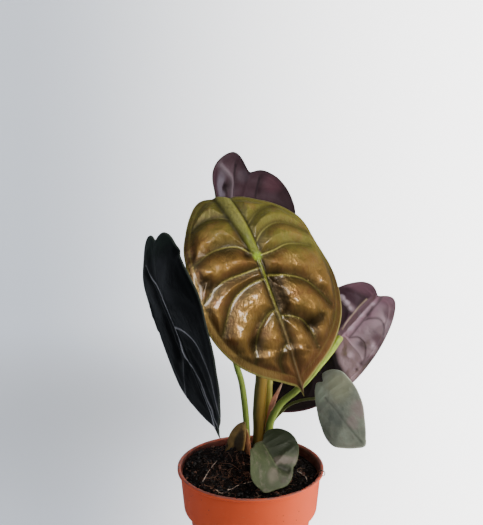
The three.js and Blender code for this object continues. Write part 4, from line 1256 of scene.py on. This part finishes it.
def back_material(settings):
    """The back leaf: even maroon purple with hardly a vein, a grey painted sheen where its left lobe folds
    forward with painted shade in the fold's pocket, and redder on its right lobe."""
    # grey is a painted sheen on the fold; the dark fourth spot is painted shade in its pocket.
    grey = (0.085, 0.073, 0.092, 1)
    spots = ((-0.24, -0.3, 0.06, grey, 0.4), (-0.17, -0.3, 0.08, grey, 0.8), (-0.11, -0.27, 0.06, grey, 0.8),
             (-0.16, -0.21, 0.032, shade(settings.purple, 0.4), 0.7), (-0.28, -0.05, 0.06, grey, 0.2),
             (-0.27, 0.24, 0.09, (0.085, 0.030, 0.042, 1), 0.5))
    rim = shade(settings.purple, 0.5)
    return purple_material("blade_purple", settings.purple, (), spots, (0.06, 0, 0), rim, (0.14, 0.14))


def right_material(settings):
    """The right leaf: grey mauve, partly a painted sheen over its own maroon, with a rosier band and lobe,
    maroon beyond its pale midrib, pale streaks of painted highlight, and nearly black towards the tip, a
    painted shadow of the front leaf."""
    band = (0, -1, -0.15, -0.03, (0.38, 0.20, 0.26, 1), 0.75)
    maroon = (0, -1, 0.04, 0.06, (0.040, 0.012, 0.022, 1), 0.92)
    lobe = (-1, -0.3, 0.42, 0.48, (0.27, 0.13, 0.17, 1), 0.8)
    # Nearly black towards the tip: a painted shadow of the front leaf.
    tip = (1, -0.55, 0.07, 0.14, (0.004, 0.002, 0.003, 1), 0.98)
    # Pale lavender streaks: painted highlights.
    streak = (0.60, 0.48, 0.55, 1)
    red = (0.16, 0.05, 0.07, 1)
    spots = ((-0.275, -0.2, 0.03, streak, 0.9), (-0.265, -0.15, 0.028, streak, 0.9),
             (-0.25, -0.1, 0.02, streak, 0.7), (-0.4, 0.015, 0.03, streak, 0.5),
             (-0.27, 0.0, 0.025, streak, 0.5), (-0.12, 0.01, 0.03, streak, 0.4),
             (-0.46, 0.16, 0.07, red, 0.5), (-0.2, 0.25, 0.06, red, 0.5), (-0.02, 0.31, 0.05, red, 0.5))
    zones = (band, maroon, lobe, tip)
    rim = (0.12, 0.04, 0.06, 1)
    return purple_material("blade_mauve", settings.mauve, zones, spots, (0.1, 0, 0), rim, (0.4, 0))


def young_material(name, sage, spots):
    """Matte grey-green with soft round spots of other tints, each at a place along and across the blade, a
    blurred dark crease, mottled in pink, painted shade beside the veins and in the pocket, and a pale rim.
    Mauve brown below."""
    make = Finish(name, Specular_IOR_Level=0.3, Coat_Roughness=0.4, Coat_Weight=0.05)
    upper, share, glow, crease, thread, dip = make.attributes("upper share glow crease thread dip")
    patch = make.noise(70, 4)
    mottle = make.noise(170, 4, 0.65)
    fine = make.noise(700, 4)
    above = make.layers(
        make.tones(patch, 0.3, 0.72, shade(sage, 0.75), shade(sage, 1.2)),
        (make.between(mottle, 0.5, 0.7) * 0.3, (0.20, 0.15, 0.13, 1)),
        *make.spots(spots, (patch - 0.5) * 0.25),
        # Painted shade in the valleys beside the veins.
        (glow * 0.15, shade(sage, 0.5)),
        (crease * 0.5, shade(sage, 0.35)),
        (thread * 0.6, shade(sage, 2.2)),
        (make.ribs(0.1, 0.15, 0), shade(sage, 0.4)),
        # Painted shade in the pocket.
        (dip * 0.75, (0.022, 0.024, 0.014, 1)),
        (make.between(share, 0.955, 0.99) * 0.5, shade(sage, 1.8)))
    below = make.tones(patch, 0.3, 0.7, (0.10, 0.07, 0.06, 1), (0.16, 0.11, 0.085, 1))
    return make.feed(
        Base_Color=make.mix(upper, below, above),
        Roughness=0.5 + (fine - 0.5) * 0.2,
        Normal=make.bump(fine * 0.7 + mottle * 0.8, 0.18))


def pale_material(settings):
    """The young leaf on the right: pink in two places, olive in one, dark over the midrib, lighter behind."""
    pink = (0.33, 0.25, 0.23, 1)
    olive = (0.35, 0.36, 0.215, 1)
    spots = ((0.0, -0.2, 0.22, olive, 0.6), (0.48, -0.26, 0.15, pink, 0.8), (0.57, -0.08, 0.1, pink, 0.6),
             (0.34, 0.08, 0.15, (0.12, 0.135, 0.115, 1), 0.6), (-0.1, 0.14, 0.15, (0.36, 0.42, 0.30, 1), 0.7))
    return young_material("blade_pale", settings.pale, spots)


def sage_material(settings):
    """The young leaf in front: dark green behind on its right, dusky pink round the pocket, and painted
    shade:
    dark green in the pocket and brown at the tip."""
    green = (0.018, 0.027, 0.010, 1)
    dusky = (0.20, 0.16, 0.13, 1)
    # brown is painted shade on the tip's shaded side.
    brown = (0.045, 0.034, 0.020, 1)
    spots = ((0.02, -0.32, 0.32, green, 0.95), (0.2, -0.5, 0.24, green, 0.9),
             (0.17, -0.13, 0.14, green, 0.8), (0.41, -0.09, 0.09, dusky, 0.7),
             (0.46, -0.2, 0.09, dusky, 0.7), (0.51, -0.3, 0.09, dusky, 0.7),
             (0.57, -0.39, 0.1, dusky, 0.7), (0.6, 0.14, 0.15, dusky, 0.4),
             # The last two spots are painted shade: at the tip and in the pocket.
             (0.78, -0.06, 0.1, brown, 0.6), (0.6, -0.14, 0.07, green, 0.9))
    return young_material("blade_sage", settings.sage, spots)


def stem_material(name, base, foot, head, left):
    """A satin stem: darker towards its foot, darker on its left by painted shade on the side away from the
    light, greener there on the golden-brown stem, lengthwise streaks, a fine mottle.
    """
    make = Finish(name, Coat_Roughness=0.25, Coat_Weight=0.08, Specular_IOR_Level=0.35, IOR=1.42,
                  Subsurface_Weight=0.12, Subsurface_Radius=(0.004, 0.004, 0.001))
    run, across = make.attributes("run round")
    streak = make.noise(60, stretch=(6.0, 6.0, 0.7))
    fleck = make.noise(900, stretch=(1.0, 1.0, 0.35))
    # The left side is painted shade: a darker copy of the base, greener on the golden-brown stem.
    side_shaded = make.tones(across + (streak - 0.5) * 0.9, -0.75, 0.35, left, base)
    colour = make.layers(
        make.tones(run + (streak - 0.5) * 0.3, 0.02, 0.42, foot, side_shaded),
        (make.between(run, 0.5, 1.0), head),
        (make.between(streak, 0.42, 0.75) * 0.5, shade(base, 0.6)),
        (make.between(fleck, 0.6, 0.74) * 0.4, shade(base, 0.45)))
    return make.feed(
        Base_Color=colour,
        Roughness=0.36 + (streak - 0.5) * 0.2,
        Normal=make.bump(streak * 0.8 + fleck * 0.3, 0.2))


def sheath_material(name, base, tip, stain):
    """Papery: lengthwise fibres, dark stains and a dark patch of the given strength, and a dry point."""
    make = Finish(name, Specular_IOR_Level=0.3)
    run, across = make.attributes("run round")
    fibre = make.noise(140, 4, 0.65, stretch=(8.0, 8.0, 0.6))
    blotch = make.noise(80)
    stained = make.between(blotch, 0.62 - 0.2 * stain, 0.54 - 0.2 * stain)
    mark = ((run - 0.5) ** 2 * 4 + (across - 0.35) ** 2) ** 0.5 + (blotch - 0.5) * 0.5
    colour = make.layers(
        make.tones(blotch, 0.35, 0.7, shade(base, 0.7), base),
        (make.between(fibre, 0.5, 0.72) * 0.6, shade(base, 0.45)),
        (stained * stain, shade(base, 0.08)),
        (make.between(mark, 0.75, 0.4) * stain, shade(base, 0.06)),
        (make.between(run + (blotch - 0.5) * 0.2, 0.78, 0.98), tip))
    return make.feed(
        Base_Color=colour,
        Roughness=0.6 + (fibre - 0.5) * 0.3,
        Normal=make.bump(fibre + blotch * 0.5, 0.3))


def pot_material(settings):
    """Moulded plastic: even orange, faint flow marks, dust, tiny dark specks and scuffs, soiled on the lip,
    and soiled and darkened by painted shade within. The inside is where the distance from the axis is less
    than that of a cone within the wall."""
    make = Finish("pot_plastic", Specular_IOR_Level=0.3, IOR=1.47)
    plain = settings.colour
    flow = make.noise(14, 3, 0.5, stretch=(1.0, 1.0, 0.25))
    grain = make.noise(1400)
    scuff = make.noise(90, 5, 0.7, distortion=1.5, stretch=(1.0, 1.0, 3.0))
    place = make.place()
    level = make.node("ShaderNodeVectorMath", {"operation": "MULTIPLY"}, {0: place, 1: (1, 1, 0)})
    away = make.node("ShaderNodeVectorMath", {"operation": "LENGTH"}, {0: level}, output="Value")
    height = make.part(place, "Z")
    dust = make.between(scuff, 0.58, 0.8)
    speckled = make.between(make.noise(30, 2, 0.55), 0.44, 0.54)
    specks = make.between(0.13 - make.cells(190), 0.0, 0.05) * speckled
    inside = make.between(away - height * 0.0885, 0.0483, 0.0476) * make.between(height, 0.08, 0.09)
    lip = make.between(height, 0.1056, 0.1067) * (make.between(scuff, 0.35, 0.6) * 0.6 + 0.4)
    colour = make.layers(
        make.tones(flow, 0.3, 0.7, shade(plain, 0.92), shade(plain, 1.06)),
        (dust * 0.22, (0.52, 0.30, 0.22, 1)),
        (specks * 0.8, (0.05, 0.025, 0.015, 1)),
        # Soil stain and painted shade within the pot.
        (inside * 0.93, make.tones(scuff, 0.35, 0.65, (0.018, 0.008, 0.007, 1), (0.075, 0.036, 0.031, 1))),
        (lip * 0.85, (0.15, 0.088, 0.076, 1)))
    return make.feed(
        Base_Color=colour,
        Roughness=0.34 + dust * 0.22 + inside * 0.2 + lip * 0.15 + (grain - 0.5) * 0.1,
        Normal=make.bump(grain * 0.5 + scuff * 0.3, 0.06))


def soil_material(settings):
    """Dark peat: black-brown crumbs of several tones, damp in places."""
    make = Finish("soil", Specular_IOR_Level=0.15)
    peat = settings.colour
    coarse = make.noise(190, 5, 0.7)
    fine = make.noise(900, 4, 0.7)
    fibrous = make.noise(60, 4, distortion=2.0)
    colour = make.layers(
        make.tones(coarse, 0.38, 0.66, shade(peat, 0.25), shade(peat, 1.3)),
        (make.between(fine, 0.58, 0.75) * 0.5, (0.07, 0.036, 0.022, 1)),
        (make.between(fibrous, 0.56, 0.7) * 0.55, (0.075, 0.030, 0.016, 1)))
    return make.feed(
        Base_Color=colour,
        Roughness=0.75 + (coarse - 0.5) * 0.4,
        Normal=make.bump(coarse + fine * 0.6, 0.9))


def crumb_material(settings):
    """Loose bits: the tone attribute runs from black peat over reddish coir and tan bark to pale roots."""
    make = Finish("soil_bits", Specular_IOR_Level=0.35, Roughness=0.45)
    peat = settings.colour
    fine = make.noise(700, 4, 0.7)
    tones = make.node("ShaderNodeValToRGB", {"stops": (
        (0.0, shade(peat, 0.3)), (0.35, shade(peat, 1.3)), (0.55, (0.095, 0.036, 0.020, 1)),
        (0.75, (0.20, 0.095, 0.055, 1)), (0.9, (0.42, 0.27, 0.18, 1)),
        (1.0, (0.90, 0.70, 0.56, 1)))}, {0: make.attribute("tone")})
    colour = make.layers(tones, (make.between(fine, 0.5, 0.75) * 0.5, shade(peat, 0.8)))
    return make.feed(Base_Color=colour, Normal=make.bump(fine, 0.4))


BLADE_FINISHES = {
    "front": ("blade_gold", gold_material),
    "left": ("blade_dark", dark_material),
    "back": ("blade_purple", back_material),
    "right": ("blade_mauve", right_material),
    "small_right": ("blade_pale", pale_material),
    "small_front": ("blade_sage", sage_material),
}

# Stems: setting of the base colour, then the tints of the foot, the head and the left side. The left side's
# tint is painted shade, a darker copy of the base, greener on the golden-brown stem.
STEM_TINTS = {
    "stem_green": ("green", (0.10, 0.14, 0.022, 1), (0.60, 0.78, 0.10, 1), (0.13, 0.19, 0.035, 1)),
    "stem_brown": ("brown", (0.05, 0.024, 0.007, 1), (0.24, 0.22, 0.04, 1), (0.09, 0.09, 0.03, 1)),
    "stem_yellow": ("yellow", (0.30, 0.28, 0.06, 1), (0.40, 0.42, 0.12, 1), (0.40, 0.40, 0.08, 1)),
    "stem_olive": ("olive", (0.07, 0.06, 0.025, 1), (0.15, 0.17, 0.07, 1), (0.09, 0.10, 0.035, 1)),
}


def shared_material(name, maker, *details):
    """The material of that name, made on first use."""
    return bpy.data.materials.get(f"fine_{name}") or maker(*details)


def stem_finish(slot, settings):
    """The finish of the stems in that slot."""
    base, *tints = STEM_TINTS[slot]
    return shared_material(slot, stem_material, slot, getattr(settings, base), *tints)


def sky_world(settings):
    """What the glossy surfaces reflect: a dim even sky with one large soft bright patch high in front, a
    smooth step of the cosine of the angle from its middle."""
    world = bpy.data.worlds.new("sky")
    world.use_nodes = True
    make = Nodes(world.node_tree)
    way = make.node("ShaderNodeTexCoord", output="Generated")
    middle = Vector((-0.12, -0.70, 0.68)).normalized()
    facing = make.node("ShaderNodeVectorMath", {"operation": "DOT_PRODUCT"}, {0: way, 1: middle},
                       output="Value")
    dim = shade((0.80, 0.89, 1.0), settings.ambient)
    gleam = tuple(settings.gleam * part for part in (1, 0.95, 0.88)) + (1,)
    background = world.node_tree.nodes["Background"]
    make.plug(background.inputs["Color"], make.tones(facing, 0.6, 0.97, dim, gleam))
    return world


def room_material(settings):
    """A matte floor. The wall behind the plant has a light of its own that grows from left to right, as on a
    wall beside a window, with a dimmer round patch on the left, a painted shadow of the plant."""
    make = Finish("room", Roughness=1.0, Specular_IOR_Level=0.0, Emission_Strength=1.0)
    place = make.place()
    across = make.part(place, "X")
    deep = make.part(place, "Y")
    behind = make.between(deep, -0.12, 0.1) * (1 - make.between(across, 0.6, 1.1))
    behind = behind * make.between(across, -1.1, -0.65)
    # A painted shadow of the plant on the wall, left of the pot.
    dark = make.between(((across + 0.2) ** 2 + (deep - 0.38) ** 2) ** 0.5, 0.42, 0.0)
    glow = make.layers(make.tones(across / (deep + 0.75), -0.24, 0.36, settings.dim, settings.bright),
                       (dark * 0.75, shade(settings.dim, 0.3)))
    return make.feed(Base_Color=settings.floor,
                     Emission_Color=make.mix(behind, shade(settings.dim, 0.16), glow))


def room_piece(settings):
    """A round room: the floor turns up through a quarter circle into a wall all round."""
    bend = np.linspace(0, np.pi / 2, 40)[1:]
    radius, curve, ceiling, sectors = settings.room, settings.curve, 2600, 128
    r = np.concatenate([[1, radius - curve], radius - curve + curve * np.sin(bend), [radius]])
    z = np.concatenate([[0, 0], curve * (1 - np.cos(bend)), [ceiling]])
    points = np.concatenate([turned(r, z, sectors).reshape(-1, 3), [[0, 0, 0]]])
    floor = fan_faces(len(points) - 1, 0, sectors)
    room = add_mesh("room", points, ring_faces(len(r), sectors)[:, ::-1], floor)
    room.data.materials.append(room_material(settings))
    room.visible_glossy = False
    return room


def add_lamp(name, power, place, target, extent, colour, unseen):
    """A soft rectangular light that neither the camera nor the named kind of ray sees."""
    light = bpy.data.lights.new(name, "AREA")
    light.shape = "RECTANGLE"
    light.size, light.size_y = extent
    light.energy = power
    light.color = colour
    lamp = bpy.data.objects.new(name, light)
    lamp.location = place
    lamp.visible_camera = False
    setattr(lamp, f"visible_{unseen}", False)
    lamp.rotation_euler = (Vector(target) - Vector(place)).to_track_quat("-Z", "Y").to_euler()
    bpy.context.collection.objects.link(lamp)


class ALOCASIA_OT_leaf(bpy.types.Operator):
    """Adds one leaf: its blade and its stem"""
    bl_idname = "alocasia.leaf"
    bl_label = "Leaf"
    key: StringProperty(name="Leaf", description="Which leaf of the plant", default="front")

    def execute(self, context):
        leaf = LEAVES[self.key]
        blades = context.scene.alocasia_blades
        finish, maker = BLADE_FINISHES[self.key]
        finish_piece(blade_piece(f"{self.key}_blade", leaf, blades), leaf["blade_slot"],
                     shared_material(finish, maker, blades), [f"leaf_{self.key}_blade"])
        finish_piece(petiole_piece(f"{self.key}_stem", leaf), leaf["stem_slot"],
                     stem_finish(leaf["stem_slot"], context.scene.alocasia_stems),
                     [f"leaf_{self.key}_petiole"])
        return {"FINISHED"}


class ALOCASIA_OT_sheaths(bpy.types.Operator):
    """Adds the papery sheath and the old scales at the foot of the stems"""
    bl_idname = "alocasia.sheaths"
    bl_label = "Sheaths"

    def execute(self, context):
        stems = context.scene.alocasia_stems
        for name, sheath in SHEATHS.items():
            base, tip, stain = sheath["finish"]
            material = sheath_material(name, getattr(stems, base), tip, stain)
            finish_piece(sheath_piece(f"{name}_piece", sheath), sheath["slot"], material, [name])
        return {"FINISHED"}


class ALOCASIA_OT_pot(bpy.types.Operator):
    """Adds the nursery pot with its rolled rim, collar and drainage holes"""
    bl_idname = "alocasia.pot"
    bl_label = "Pot"

    def execute(self, context):
        settings = context.scene.alocasia_pot
        finish_piece(pot_piece(settings), "pot_plastic", pot_material(settings), ["pot"])
        return {"FINISHED"}


class ALOCASIA_OT_soil(bpy.types.Operator):
    """Adds the potting mix with its crumbs, coir and roots"""
    bl_idname = "alocasia.soil"
    bl_label = "Soil"

    def execute(self, context):
        settings = context.scene.alocasia_soil
        finish_piece(soil_piece(settings), "soil", soil_material(settings), ["soil"])
        finish_piece(soil_bits(settings, context.scene.alocasia_pot), "soil", crumb_material(settings))
        return {"FINISHED"}


class ALOCASIA_OT_stage(bpy.types.Operator):
    """Adds the pale floor and backdrop, the soft lights and the camera"""
    bl_idname = "alocasia.stage"
    bl_label = "Stage"

    def execute(self, context):
        settings = context.scene.alocasia_stage
        room_piece(settings)
        for name, (power, *shape) in LAMPS.items():
            add_lamp(name, getattr(settings, power), *shape)
        context.scene.world = sky_world(settings)
        camera = bpy.data.objects.new("camera", bpy.data.cameras.new("camera"))
        camera.data.lens = CAMERA_LENS
        camera.data.sensor_width = 36
        camera.data.clip_end = 20
        camera.location = CAMERA_PLACE
        camera.rotation_euler = (np.radians(90 - CAMERA_PITCH), 0, 0)
        context.collection.objects.link(camera)
        context.scene.camera = camera
        return {"FINISHED"}


class ALOCASIA_PT_panel(bpy.types.Panel):
    """Sizes, colours and the steps that build the plant"""
    bl_idname = "ALOCASIA_PT_panel"
    bl_label = "Potted alocasia"
    bl_space_type = "VIEW_3D"
    bl_region_type = "UI"
    bl_category = "Alocasia"

    def draw(self, context):
        for name in SETTINGS:
            box = self.layout.box()
            settings = getattr(context.scene, name)
            for key in settings.__annotations__:
                box.prop(settings, key)
        for key in LEAVES:
            self.layout.operator("alocasia.leaf", text=f"Leaf: {key}").key = key
        for step in ("sheaths", "soil", "pot", "stage"):
            self.layout.operator(f"alocasia.{step}")


SETTINGS = {
    "alocasia_blades": AlocasiaBladeSettings,
    "alocasia_stems": AlocasiaStemSettings,
    "alocasia_pot": AlocasiaPotSettings,
    "alocasia_soil": AlocasiaSoilSettings,
    "alocasia_stage": AlocasiaStageSettings,
}
CLASSES = (
    *SETTINGS.values(), ALOCASIA_OT_leaf, ALOCASIA_OT_sheaths, ALOCASIA_OT_pot, ALOCASIA_OT_soil,
    ALOCASIA_OT_stage, ALOCASIA_PT_panel,
)


def register():
    """Registers the classes and puts the settings on the scene."""
    for cls in CLASSES:
        bpy.utils.register_class(cls)
    for name, settings in SETTINGS.items():
        setattr(bpy.types.Scene, name, PointerProperty(type=settings))


def unregister():
    """Takes the settings and the classes away again."""
    for name in SETTINGS:
        delattr(bpy.types.Scene, name)
    for cls in reversed(CLASSES):
        bpy.utils.unregister_class(cls)


def main():
    """Builds the stage and the plant."""
    register()
    bpy.ops.alocasia.stage()
    bpy.ops.alocasia.pot()
    bpy.ops.alocasia.soil()
    for key in LEAVES:
        bpy.ops.alocasia.leaf(key=key)
    bpy.ops.alocasia.sheaths()


if __name__ == "__main__":
    main()
